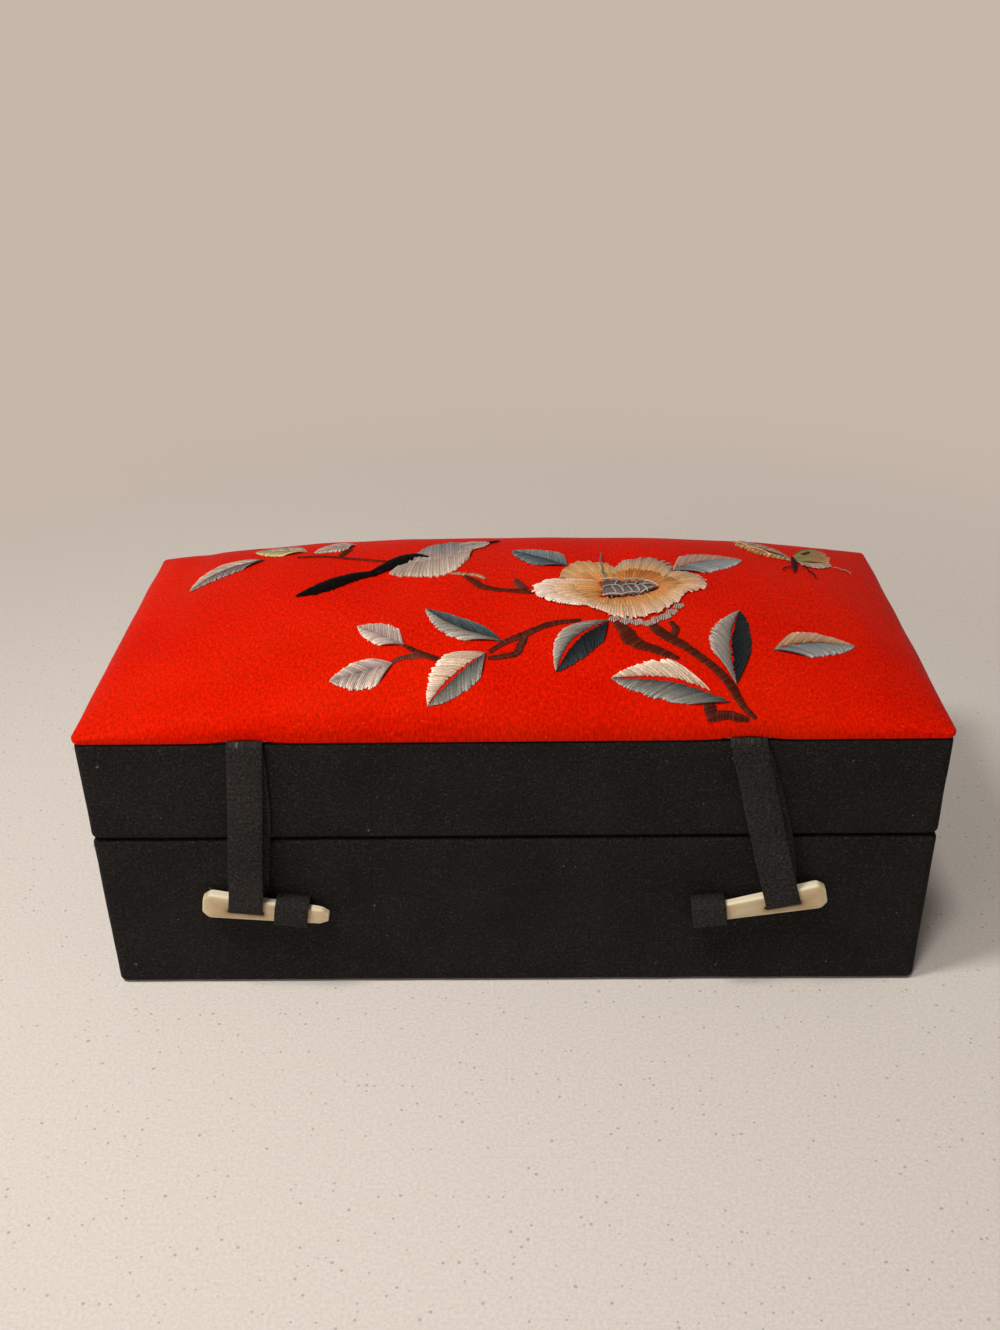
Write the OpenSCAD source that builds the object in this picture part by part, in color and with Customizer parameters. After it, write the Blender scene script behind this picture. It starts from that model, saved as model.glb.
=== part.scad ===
// Chinese brocade box: a cloth-covered board box with a padded, embroidered silk lid,
// a cloth hinge along the back and two ribbon clasps with bone pegs in front.
// The origin is on the table under the middle of the box; +X right, -Y front, +Z up.

/* [Box] */
// Outside width of the box
box_w = 200; // [180:1:260]
// Outside depth of the box
box_d = 96; // [90:1:140]
// Height of the base's sides above the table
base_h = 44.3; // [42:0.1:80]
// Height of the lid's black sides
lid_side_h = 26.5; // [22:0.1:50]
// Gap at the seam between the two rims
seam_gap = 0.7; // [0.3:0.1:1]
// Radius of the upright corners
corner_r = 2; // [1:0.1:4]

/* [Boards and cloth] */
// Thickness of the grey board that the trays are made of
board_t = 2.5; // [2:0.1:3.5]
// Thickness of the black covering cloth
cover_t = 0.5; // [0.3:0.1:0.8]
// Width of the cloth turned over the outer face of each tray's floor
hem_w = 12; // [8:1:16]
// Depth of the cloth turned in over each rim
turn_in = 12; // [6:1:14]
// Thickness of the sheet pasted under the base
sheet_t = 0.4; // [0.2:0.1:1]
// Distance of that sheet from the edges of the base
sheet_inset = 3; // [2:0.5:8]

/* [Lining] */
// Thickness of a silk-covered lining card
lining_t = 1; // [0.8:0.1:2]
// Distance from the lining's edge to the rim
lining_drop = 1.5; // [1:0.1:4]
// Height of the lining pads at their edges
pad_edge_h = 2.5; // [1.5:0.1:5]
// Extra height of the lining pads in the middle
pad_crown_h = 1.8; // [0.5:0.1:5]
// Space between a lining pad and the lining round it
pad_gap = 0.3; // [0.2:0.1:1]

/* [Padded silk top] */
// Height of the upright edge of the silk
silk_edge_h = 1.4; // [1.4:0.1:3]
// Height of the padded crown above that edge
crown_h = 15.8; // [8:0.1:20]
// Thickness of the silk with its backing
silk_t = 0.4; // [0.3:0.05:0.45]
// Thickness of the card under the wadding
card_t = 0.6; // [0.4:0.05:0.6]
// Space between the silk and what it wraps
silk_gap = 0.15; // [0.1:0.05:0.2]
// Width of the silk turned under the card
silk_hem_w = 9; // [5:1:14]
// Space between the wadding and the silk over it
wadding_gap = 0.3; // [0.2:0.05:0.3]

/* [Embroidery] */
// Height of the lowest threads above the silk
stitch_lift = 0.25; // [0.2:0.05:0.5]
// Height of the edge of the stitching above the silk
stitch_edge_h = 0.4; // [0.35:0.05:0.8]
// Height of the middle of the stitching above the silk
stitch_h = 0.9; // [0.6:0.05:1.5]

/* [Clasps] */
// Distance of the left ribbon's middle from the left side of the box
ribbon_left_in = 39.5; // [36:0.5:44]
// Distance of the right ribbon's middle from the right side of the box
ribbon_right_in = 46.5; // [43:0.5:51]
// Lean of the left ribbon away from the middle, in degrees
lean_left = 5; // [4:0.5:9]
// Lean of the right ribbon, whose peg is half drawn out
lean_right = 14; // [10:0.5:16]
// Width of the ribbons
ribbon_w = 8.2; // [6:0.1:10]
// Thickness of one layer of ribbon
ribbon_t = 0.45; // [0.3:0.05:0.6]
// Space between the box front and what hangs in front of it
front_gap = 0.3; // [0.2:0.05:0.6]
// Distance from the ribbon's fold to the middle of the peg
ribbon_l = 44.7; // [42:0.1:52]
// Length of ribbon glued under the padded top
tail_l = 13; // [8:1:20]
// Length of the peg from the ribbon's middle to the end of its head
peg_head_l = 10.5; // [8:0.1:12]
// Length of the peg from the ribbon's middle to its tip
peg_tip_l = 19.9; // [19:0.1:24]
// Height of the peg at its head
peg_head_h = 7.3; // [6:0.1:9]
// Height of the peg at its tip
peg_tip_h = 4; // [3:0.1:6]
// Thickness of the peg from front to back at its head
peg_t = 3; // [2.4:0.1:5]
// Thickness of the peg from front to back at its tip
peg_tip_t = 2.2; // [1.6:0.1:5]
// Space between the ribbon and the slot's sides
slot_gap = 0.3; // [0.2:0.05:0.5]
// Distance of the slot below the peg's middle line
slot_drop = 0.6; // [0.3:0.1:1.2]
// Distance along the left peg from its ribbon's middle to its keeper loop's
keeper_left_on = 10.9; // [9:0.1:12]
// Distance along the right peg, half drawn out, to its keeper loop's middle
keeper_right_on = 17.6; // [14:0.1:18]
// Width of the keeper loops
keeper_w = 8; // [5:0.1:9]
// Thickness of a keeper loop's cloth
keeper_t = 0.5; // [0.4:0.05:1]
// Space round the peg in its keeper loop
keeper_gap = 0.25; // [0.2:0.05:0.5]

/* [Hinge] */
// Thickness of the hinge cloth on the outside of the back
hinge_t = 0.5; // [0.3:0.1:0.8]
// Distance of the hinge cloth's ends from the corners
hinge_inset = 3; // [2:0.5:20]
// Width of hinge cloth glued to each back side
hinge_reach = 18; // [10:1:20]
// Thickness of the strip inside the hinge
strip_t = 0.4; // [0.3:0.1:0.6]
// Width of that strip glued to each lining
strip_reach = 8; // [5:0.5:12]
// Depth of the pleat that lets the strip open out
pleat_depth = 3; // [2.5:0.1:5]

/* [Hidden] */

$fn = 48;
black = "#2b2926";
grey_board = "#a89c86";
red_silk = "#d8180c";
gold_silk = "#c79a4b";
bone = "#ead9b4";

base_tray_h = base_h - sheet_t;
lid_rim_z = base_h + seam_gap;
lid_top_z = lid_rim_z + lid_side_h;
seam_z = base_h + seam_gap / 2;
tray_floor_h = cover_t + board_t;
inset_board = cover_t;
inset_turn_in = inset_board + board_t;
inset_lining = inset_turn_in + cover_t;
inset_inside = inset_lining + lining_t;
front_y = -box_d / 2;
back_y = box_d / 2;
eps = 0.01;

// Crown of the padded top: how full it is across the width and the depth
full_x = [2.5, 0.62];
full_y = [2.1, 0.45];
// Scale of each ring of points between the edge and the middle of a padded form
crown_rings = [1, 0.994, 0.97, 0.92, 0.84, 0.72, 0.55, 0.3];
crown_nx = 17;
crown_ny = 9;
pad_rings = [1, 0.99, 0.96, 0.9, 0.75, 0.5];

// Ribbon: two layers, with the fold's axis beside the lid's top front edge
layer_gap = 0.1;
behind_peg_gap = 0.2;
before_peg_gap = 0.15;
ribbon_left_x = ribbon_left_in - box_w / 2;
ribbon_right_x = box_w / 2 - ribbon_right_in;
ribbon_pair_t = 2 * ribbon_t + layer_gap;
fold_r = (ribbon_pair_t + layer_gap) / 2;
fold_y = front_y - front_gap - ribbon_pair_t / 2;
fold_z = lid_top_z - fold_r;
peg_back = front_gap + ribbon_t + behind_peg_gap;
peg_y = front_y - peg_back - peg_t / 2;
peg_front = peg_back + peg_t;
slot_h = ribbon_t + 2 * slot_gap;
slot_w = ribbon_w + 2 * slot_gap;

// Outline of the box, drawn in from its sides
module outline(inset) {
    r = max(corner_r - inset, 0.3);
    w = box_w - 2 * inset;
    d = box_d - 2 * inset;
    square([w - 2 * r, d], center = true);
    square([w, d - 2 * r], center = true);
    for (x = [-1, 1], y = [-1, 1]) {
        translate([x * (w / 2 - r), y * (d / 2 - r)]) circle(r);
    }
}

module slab(inset, z0, z1) {
    translate([0, 0, z0]) linear_extrude(z1 - z0) outline(inset);
}

// A tray stands with its floor down at z = 0 and its rim at z = h
module base_place() {
    translate([0, 0, sheet_t]) children();
}

module lid_place() {
    translate([0, 0, lid_top_z]) mirror([0, 0, 1]) children();
}

// Cloth round a tray: hem over the floor, four sides, rim and turned-in edge
module tray_cover(h) {
    color(black) difference() {
        slab(0, 0, h);
        slab(hem_w, -eps, cover_t + eps);
        slab(inset_board, cover_t, h - turn_in);
        slab(inset_lining, h - turn_in - eps, h + eps);
        translate([0, 0, h - turn_in - eps]) linear_extrude(turn_in - cover_t + eps) difference() {
            outline(inset_board);
            outline(inset_turn_in);
        }
    }
}

module tray_floor() {
    color(grey_board) slab(inset_board, cover_t, tray_floor_h);
}

// Front and back boards run the whole width; side is -1 for the front, 1 for the back
module tray_long_board(h, side) {
    color(grey_board) translate([0, 0, tray_floor_h]) linear_extrude(h - cover_t - tray_floor_h) {
        intersection() {
            outline(inset_board);
            translate([0, side * (box_d / 2 - inset_board - board_t / 2)])
                square([box_w, board_t], center = true);
        }
    }
}

// Left and right boards stand between them; side is -1 for the left, 1 for the right
module tray_short_board(h, side) {
    color(grey_board) translate([side * (box_w / 2 - inset_board - board_t / 2), 0, tray_floor_h])
        linear_extrude(h - cover_t - tray_floor_h)
            square([board_t, box_d - 2 * inset_turn_in], center = true);
}

module tray_long_lining(h, side) {
    color(gold_silk) translate([0, side * (box_d / 2 - inset_lining - lining_t / 2), tray_floor_h])
        linear_extrude(h - lining_drop - tray_floor_h)
            square([box_w - 2 * inset_lining, lining_t], center = true);
}

module tray_short_lining(h, side) {
    color(gold_silk) translate([side * (box_w / 2 - inset_lining - lining_t / 2), 0, tray_floor_h])
        linear_extrude(h - lining_drop - tray_floor_h)
            square([lining_t, box_d - 2 * inset_inside], center = true);
}

// Padded forms: rings of points over a rectangle with rounded corners
function span(a, b, n) = [for (i = [0 : n - 1]) a + (b - a) * i / n];
function corner(cx, cy, r, a) = [for (i = [0 : 2]) [cx + r * cos(a + 45 * i), cy + r * sin(a + 45 * i)]];
function loop(w, d, r, nx, ny) = let (x = w / 2 - r, y = d / 2 - r) concat(
    corner(x, y, r, 0), [for (t = span(x, -x, nx)) if (t < x) [t, y + r]],
    corner(-x, y, r, 90), [for (t = span(y, -y, ny)) if (t < y) [-x - r, t]],
    corner(-x, -y, r, 180), [for (t = span(-x, x, nx)) if (t > -x) [t, -y - r]],
    corner(x, -y, r, 270), [for (t = span(-y, y, ny)) if (t > -y) [x + r, t]]
);
function swell(t, full) = pow(max(0, 1 - pow(min(abs(t), 1), full[0])), full[1]);
function crown(x, y, w, d) = swell(2 * x / w, full_x) * swell(2 * y / d, full_y);
function level_ring(pts, s, z) = [for (p = pts) [p[0] * s[0], p[1] * s[1], z]];
function crown_ring(pts, s, w, d, z, h) =
    [for (p = pts) [p[0] * s, p[1] * s, z + h * crown(p[0] * s, p[1] * s, w, d)]];

// A closed skin from a pole through rings of equal count to another pole, in triangles
module skin(rings, pole_a, pole_b) {
    n = len(rings[0]);
    m = len(rings);
    points = concat([for (ring = rings) for (p = ring) p], [pole_a, pole_b]);
    faces = concat(
        [for (k = [0 : m - 2]) for (i = [0 : n - 1]) let (j = (i + 1) % n)
            [k * n + i, (k + 1) * n + j, k * n + j]],
        [for (k = [0 : m - 2]) for (i = [0 : n - 1]) let (j = (i + 1) % n)
            [k * n + i, (k + 1) * n + i, (k + 1) * n + j]],
        [for (i = [0 : n - 1]) [m * n, i, (i + 1) % n]],
        [for (i = [0 : n - 1]) [m * n + 1, (m - 1) * n + (i + 1) % n, (m - 1) * n + i]]
    );
    polyhedron(points, faces);
}

// A cushion with a flat underside at z = 0, upright edges and a crown
module cushion(w, d, r, edge_h, h, scales, nx, ny) {
    pts = loop(w, d, r, nx, ny);
    rings = concat(
        [for (i = [len(scales) - 1 : -1 : 0]) crown_ring(pts, scales[i], w, d, edge_h, h)],
        [level_ring(pts, [1, 1], 0), level_ring(pts, [0.5, 0.5], 0)]
    );
    skin(rings, [0, 0, edge_h + h], [0, 0, 0]);
}

module lining_pad() {
    inset = inset_inside + pad_gap;
    color(gold_silk) cushion(box_w - 2 * inset, box_d - 2 * inset, corner_r,
        pad_edge_h, pad_crown_h, pad_rings, 14, 8);
}

// Silk over the padded top: crown, upright edge, hem under the card, and the same inside
module silk_panel() {
    w_in = box_w - 2 * silk_t;
    d_in = box_d - 2 * silk_t;
    outer = loop(box_w, box_d, corner_r, crown_nx, crown_ny);
    inner = loop(w_in, d_in, corner_r - silk_t, crown_nx, crown_ny);
    hem = [1 - 2 * silk_hem_w / box_w, 1 - 2 * silk_hem_w / box_d];
    inner_edge_h = silk_edge_h - silk_t;
    rings = concat(
        [for (i = [len(crown_rings) - 1 : -1 : 0])
            crown_ring(outer, crown_rings[i], box_w, box_d, silk_edge_h, crown_h)],
        [level_ring(outer, [1, 1], 0), level_ring(outer, hem, 0), level_ring(outer, hem, silk_t)],
        [level_ring(inner, [1, 1], silk_t)],
        [for (s = crown_rings) crown_ring(inner, s, w_in, d_in, inner_edge_h, crown_h)]
    );
    color(red_silk) translate([0, 0, lid_top_z])
        skin(rings, [0, 0, silk_edge_h + crown_h], [0, 0, inner_edge_h + crown_h]);
}

module pad_card() {
    color(grey_board) slab(silk_t + silk_gap, lid_top_z + silk_t, lid_top_z + silk_t + card_t);
}

// The wadding fills the silk from the card up, and thins out before the silk's edge
module wadding() {
    w_in = box_w - 2 * silk_t;
    d_in = box_d - 2 * silk_t;
    pts = loop(w_in, d_in, corner_r - silk_t, crown_nx, crown_ny);
    full = [for (s = crown_rings) if (s < 0.98) s];
    floor_z = silk_t + card_t;
    edge_z = silk_edge_h - silk_t - wadding_gap;
    rings = concat(
        [for (i = [len(full) - 1 : -1 : 0]) crown_ring(pts, full[i], w_in, d_in, edge_z, crown_h)],
        [level_ring(pts, [full[0], full[0]], floor_z), level_ring(pts, [0.5, 0.5], floor_z)]
    );
    color("ivory") translate([0, 0, lid_top_z]) skin(rings, [0, 0, edge_z + crown_h], [0, 0, floor_z]);
}

// Height of the silk's outer face above the table
function silk_z(x, y) = lid_top_z + silk_edge_h + crown_h * crown(x, y, box_w, box_d);

// One patch of satin stitch over the silk. Each station is [x, y, width] on its middle line,
// in the plan of the drawn box; the ends come to a point.
drawn_w = 200;
drawn_d = 96;
function place(s) = [s[0] * box_w / drawn_w, s[1] * box_d / drawn_d];
function heading(path, i) = let (a = path[max(i - 1, 0)], b = path[min(i + 1, len(path) - 1)],
    d = [b[0] - a[0], b[1] - a[1]]) d / norm(d);
function over(x, y, lift) = [x, y, silk_z(x, y) + lift];
function stitch_ring(c, n, half) = [
    over(c[0] + n[0] * half, c[1] + n[1] * half, stitch_edge_h),
    over(c[0], c[1], stitch_h),
    over(c[0] - n[0] * half, c[1] - n[1] * half, stitch_edge_h),
    over(c[0], c[1], stitch_lift)
];
module patch(path) {
    last = len(path) - 1;
    rings = [for (i = [1 : last - 1]) let (c = place(path[i]), t = heading(path, i))
        stitch_ring(c, [t[1], -t[0]], path[i][2] / 2 * box_w / drawn_w)];
    a = place(path[0]);
    b = place(path[last]);
    skin(rings, over(a[0], a[1], stitch_edge_h), over(b[0], b[1], stitch_edge_h));
}

// A leaf from its stalk to its tip, with its widest width and its bow to the left
function leaf(stalk, tip, width, bow) = let (d = tip - stalk, n = [-d[1], d[0]] / norm(d))
    [for (i = [0 : 7]) let (t = i / 7, c = stalk + d * t + n * bow * sin(180 * t))
        [c[0], c[1], width * pow(sin(180 * t), 0.8)]];

leaves = [
    leaf([-36.8, -19.4], [-25.5, -28.3], 7, 1),
    leaf([-27.2, -34.1], [-41.4, -38.8], 5.5, -1),
    leaf([-1.9, -26.9], [-20.6, -14.2], 10, -1),
    leaf([-5.3, -31.5], [-18.7, -44.6], 8, 1),
    leaf([23.1, -20], [10.5, -36.7], 8.5, 1),
    leaf([49.9, -43.9], [22.7, -38.6], 9.5, -2.5),
    leaf([51.7, -38.8], [55.6, -12.5], 9.6, 0),
    leaf([61.4, -28.1], [81.4, -22], 9, 0),
    leaf([15.3, 9.9], [0.4, 20], 8, -1),
    leaf([41.2, 7.9], [60.3, 17.8], 9, 1),
    leaf([-66.3, 24.2], [-83.9, 11.4], 5, -2),
    leaf([-57, 31.6], [-69.5, 30.2], 4.6, 0),
    leaf([-44.8, 29], [-51.6, 23], 4.6, 0)
];
petals = [
    [[22, -5.5, 0], [17.5, -5.6, 9], [12.5, -6, 11], [8.5, -6.4, 8], [5.6, -6.4, 0]],
    [[23.5, -2.6, 0], [21.5, 1, 8], [19.8, 4.6, 11.5], [18.6, 8.4, 9], [18.4, 11.4, 0]],
    [[32, -2.4, 0], [33, 2.5, 10], [34, 7, 14.5], [34.4, 11, 11], [34, 13.8, 0]],
    [[37.5, -3.6, 0], [40.5, -3, 8], [43.5, -1.8, 9], [46.4, -1, 6.5], [49, -0.2, 0]],
    [[12, -12.2, 0], [19, -12.3, 6], [27, -13, 8], [35, -12, 6.6], [43, -8.6, 0]],
    [[22, -5, 0], [25, -5.4, 2.6], [30, -5.4, 3.4], [33.5, -5, 2.6], [36, -4.4, 0]]
];
branches = [
    [[33, -19, 0], [35.4, -23, 3], [37.7, -26.4, 2.6], [44.7, -33.1, 2], [50, -39.4, 2],
        [52.1, -43, 2], [53.4, -45.3, 1.4], [54.2, -46.6, 0]],
    [[26, -18.6, 0], [28, -24, 3.4], [31, -28.4, 3], [37, -31.2, 2.4], [41, -32.8, 0]],
    [[37, -20, 0], [38.4, -23, 2.2], [39.6, -25.6, 0]],
    [[43.6, -44.6, 0], [44.2, -46.2, 1.6], [46.4, -46.6, 1.6], [49.6, -45.8, 1.6], [53, -46.6, 0]],
    [[16.4, -19.7, 0], [9, -20.8, 1.8], [3.5, -23.6, 2], [-1, -27.6, 1.6], [-5.1, -31.2, 0]],
    [[3, -25.4, 0], [1.5, -30, 1.6], [-2, -32, 1.4], [-5, -33.4, 0]],
    [[-24, -28.3, 0], [-20, -30.4, 1.4], [-16, -32, 0]],
    [[-57.2, 23.7, 0], [-50, 20.4, 1.2], [-42, 17, 1.4], [-34, 14.4, 0]]
];
bird = [
    [[-53.2, -3.9, 0], [-49, -1.6, 1.4], [-43, 1.4, 1.7], [-37, 4.8, 1.7], [-32.4, 7.6, 0]],
    [[-31.4, 8, 0], [-28, 10.6, 7], [-22, 14, 12], [-16, 15.6, 13], [-10.5, 15, 9], [-6.5, 13.4, 0]],
    [[-14.7, 3.1, 0], [-10, -1, 1.4], [-6.5, -4, 2], [1, -4.7, 1.8], [4.9, -7.4, 0]],
    [[1.8, 1.4, 0], [1.7, -0.6, 1.6], [1.5, -2.6, 0]]
];
butterfly = [
    [[61.5, 33, 0], [65, 31, 3], [70, 28, 4], [73, 25, 3], [74.6, 22.8, 0]],
    [[74.9, 22.4, 0], [74.6, 18, 1.6], [73.9, 14.1, 0]],
    [[76, 22.5, 0], [78.6, 25.6, 7], [82, 28, 8], [85, 28, 5], [87.4, 26.6, 0]],
    [[86, 24, 0], [88, 23.2, 1.4], [90, 22.7, 0]],
    [[76, 18.4, 0], [77.6, 15.6, 0.7], [79, 13.2, 0]]
];

module stitched(patches, shade) {
    color(shade) for (path = patches) patch(path);
}

// The shape of the clasps stands in the plane of the front, hung from the ribbon's fold.
// out is -1 on the left and 1 on the right; lean turns the ribbon's foot outwards.
module hung(x, out, lean) {
    translate([x, 0, fold_z]) mirror([out < 0 ? 1 : 0, 0, 0]) rotate([0, -lean, 0]) children();
}

// Side view of the doubled ribbon: y forwards from the front of the box, z down from the fold
ribbon_foot_z = -ribbon_l - slot_drop - ribbon_t / 2;
ribbon_out = peg_front + before_peg_gap + ribbon_t;
ribbon_bend_z = -ribbon_l + peg_head_h / 2;
ribbon_join_h = 6;
module ribbon_side() {
    difference() {
        polygon([
            [-front_gap, fold_r], [-front_gap, ribbon_foot_z], [-ribbon_out, ribbon_foot_z],
            [-ribbon_out, ribbon_bend_z], [-front_gap - ribbon_pair_t, -ribbon_join_h],
            [-front_gap - ribbon_pair_t, fold_r]
        ]);
        polygon([
            [-front_gap - ribbon_t, -2 * ribbon_join_h],
            [-front_gap - ribbon_t, ribbon_foot_z + ribbon_t],
            [-ribbon_out + ribbon_t, ribbon_foot_z + ribbon_t],
            [-ribbon_out + ribbon_t, ribbon_bend_z]
        ]);
    }
}

module ribbon(x, out, lean) {
    color(black) difference() {
        hung(x, out, lean) translate([-ribbon_w / 2, front_y, 0]) rotate([90, 0, 90])
            linear_extrude(ribbon_w) ribbon_side();
        translate([x - ribbon_w, fold_y - ribbon_w, fold_z - fold_r]) cube(2 * ribbon_w);
    }
}

module ribbon_fold(x) {
    color(black) translate([x - ribbon_w / 2, fold_y, fold_z]) rotate([0, 90, 0])
        cylinder(r = fold_r, h = ribbon_w);
}

// The ribbon's glued end lies in a channel in the top of the lid, under the silk
tail_room = 0.1;
module ribbon_tail(x) {
    color(black) translate([x - ribbon_w / 2, front_y, lid_top_z - ribbon_pair_t - tail_room])
        cube([ribbon_w, tail_l, ribbon_pair_t]);
}

module tail_channel(x) {
    translate([x - ribbon_w / 2 - tail_room, front_y - eps, lid_top_z - ribbon_pair_t - 2 * tail_room])
        cube([ribbon_w + 2 * tail_room, tail_l + 2 * tail_room, ribbon_w]);
}

// Bone peg: a tapered, rounded bar through which the ribbon's slot is cut.
// A station is its share of the length and of the full height there.
peg_l = peg_head_l + peg_tip_l;
peg_sides = 20;
peg_square = 3.4;
peg_end_t = 0.4;
peg_stations = [
    [0, 0.5], [0.012, 0.74], [0.035, 0.9], [0.07, 0.98], [0.12, 1], [0.3, 1], [0.5, 1],
    [0.7, 1], [0.86, 1], [0.93, 0.93], [0.97, 0.78], [0.992, 0.56], [1, 0.34]
];
function peg_h(t) = peg_head_h + (peg_tip_h - peg_head_h) * t;
function peg_d(t) = peg_t + (peg_tip_t - peg_t) * t;
function soft_square(a) = let (c = cos(a), s = sin(a), n = peg_square)
    pow(pow(abs(c), n) + pow(abs(s), n), -1 / n) * [c, s];
function peg_ring(t, k) = [for (i = [0 : peg_sides - 1]) let (u = soft_square(360 * i / peg_sides))
    [peg_head_l - peg_l * t, -u[0] * peg_d(t) / 2 * (peg_end_t + (1 - peg_end_t) * k), u[1] * peg_h(t) / 2 * k]];
module peg(x, out, lean) {
    color(bone) difference() {
        hung(x, out, lean) translate([0, peg_y, -ribbon_l])
            skin([for (s = peg_stations) peg_ring(s[0], s[1])], [peg_head_l, 0, 0], [-peg_tip_l, 0, 0]);
        hung(x, out, lean) translate([-slot_w / 2, peg_y - peg_t, -ribbon_l - slot_drop - slot_h / 2])
            cube([slot_w, 2 * peg_t, slot_h]);
    }
}

// Cloth loop on the base, round the peg's middle line: it fits the peg at the loop's thicker end
keeper_bend_r = 0.2;
keeper_fit = (peg_head_l + keeper_left_on - keeper_w / 2) / peg_l;
keeper_hole_h = peg_h(keeper_fit) + 2 * keeper_gap;
keeper_hole_d = peg_d(keeper_fit) + 2 * keeper_gap;
module keeper(x, out, lean, on) {
    depth = peg_back + peg_t / 2 - keeper_hole_d / 2;
    outer_d = depth + keeper_hole_d + keeper_t;
    outer_h = keeper_hole_h + 2 * keeper_t;
    r = keeper_t + keeper_bend_r;
    color(black) hung(x, out, lean) translate([-on - keeper_w / 2, front_y, -ribbon_l])
        rotate([90, 0, 90]) linear_extrude(keeper_w) difference() {
            union() {
                translate([-outer_d + r, -outer_h / 2]) square([outer_d - r, outer_h]);
                translate([-outer_d, -outer_h / 2 + r]) square([outer_d, outer_h - 2 * r]);
                for (z = [-1, 1]) translate([-outer_d + r, z * (outer_h / 2 - r)]) circle(r);
            }
            translate([-depth - keeper_hole_d, -keeper_hole_h / 2]) square([keeper_hole_d, keeper_hole_h]);
        }
}

module outer_hinge() {
    color(black) translate([-box_w / 2 + hinge_inset, back_y, seam_z - hinge_reach])
        cube([box_w - 2 * hinge_inset, hinge_t, 2 * hinge_reach]);
}

// Strip glued to both linings, with a pleat between the rims that opens out with the lid
strip_inset = 1;
module inner_hinge() {
    y = back_y - inset_inside;
    low = base_h - lining_drop;
    high = lid_rim_z + lining_drop;
    color(gold_silk) translate([-box_w / 2 + inset_inside + strip_inset, 0, 0]) rotate([90, 0, 90])
        linear_extrude(box_w - 2 * (inset_inside + strip_inset)) polygon([
            [y, low - strip_reach], [y, seam_z - strip_t / 2], [y - pleat_depth, seam_z - strip_t / 4],
            [y - pleat_depth, seam_z + strip_t / 4], [y, seam_z + strip_t / 2], [y, high + strip_reach],
            [y - strip_t, high + strip_reach], [y - strip_t, seam_z + strip_t * 1.5],
            [y - pleat_depth - strip_t, seam_z + strip_t], [y - pleat_depth - strip_t, seam_z - strip_t],
            [y - strip_t, seam_z - strip_t * 1.5], [y - strip_t, low - strip_reach]
        ]);
}

module lid_with_channels() {
    difference() {
        children();
        tail_channel(ribbon_left_x);
        tail_channel(ribbon_right_x);
    }
}

// Base
color(black) slab(sheet_inset, 0, sheet_t);  // base_underside_sheet
base_place() tray_cover(base_tray_h);  // base_cover_cloth
base_place() tray_floor();  // base_floor_board
base_place() tray_long_board(base_tray_h, -1);  // base_front_board
base_place() tray_long_board(base_tray_h, 1);  // base_back_board
base_place() tray_short_board(base_tray_h, -1);  // base_left_board
base_place() tray_short_board(base_tray_h, 1);  // base_right_board
base_place() tray_long_lining(base_tray_h, -1);  // base_lining_front
base_place() tray_long_lining(base_tray_h, 1);  // base_lining_back
base_place() tray_short_lining(base_tray_h, -1);  // base_lining_left
base_place() tray_short_lining(base_tray_h, 1);  // base_lining_right
base_place() translate([0, 0, tray_floor_h]) lining_pad();  // base_floor_pad

// Lid
lid_with_channels() lid_place() tray_cover(lid_side_h);  // lid_cover_cloth
lid_with_channels() lid_place() tray_floor();  // lid_top_board
lid_place() tray_long_board(lid_side_h, -1);  // lid_front_board
lid_place() tray_long_board(lid_side_h, 1);  // lid_back_board
lid_place() tray_short_board(lid_side_h, -1);  // lid_left_board
lid_place() tray_short_board(lid_side_h, 1);  // lid_right_board
lid_place() tray_long_lining(lid_side_h, -1);  // lid_lining_front
lid_place() tray_long_lining(lid_side_h, 1);  // lid_lining_back
lid_place() tray_short_lining(lid_side_h, -1);  // lid_lining_left
lid_place() tray_short_lining(lid_side_h, 1);  // lid_lining_right
lid_place() translate([0, 0, tray_floor_h]) lining_pad();  // lid_ceiling_pad
pad_card();  // lid_pad_card
wadding();  // lid_wadding
silk_panel();  // lid_silk_panel
stitched(petals, "#d8a56a");  // embroidered_flower
stitched(leaves, "#7d8a8c");  // embroidered_leaves
stitched(branches, "#4a1a12");  // embroidered_branches
stitched(bird, "#8c7f83");  // embroidered_bird
stitched(butterfly, "#9a8f5e");  // embroidered_butterfly

// Hinge
outer_hinge();  // hinge_cloth
inner_hinge();  // inner_hinge_strip

// Left clasp
ribbon_tail(ribbon_left_x);  // ribbon_tail_left
ribbon_fold(ribbon_left_x);  // ribbon_fold_left
ribbon(ribbon_left_x, -1, lean_left);  // ribbon_left
peg(ribbon_left_x, -1, lean_left);  // peg_left
keeper(ribbon_left_x, -1, lean_left, keeper_left_on);  // keeper_left

// Right clasp
ribbon_tail(ribbon_right_x);  // ribbon_tail_right
ribbon_fold(ribbon_right_x);  // ribbon_fold_right
ribbon(ribbon_right_x, 1, lean_right);  // ribbon_right
peg(ribbon_right_x, 1, lean_right);  // peg_right
keeper(ribbon_right_x, 1, lean_right, keeper_right_on);  // keeper_right
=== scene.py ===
import math

import bmesh
import bpy
import numpy as np
from mathutils import Matrix, Vector


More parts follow.
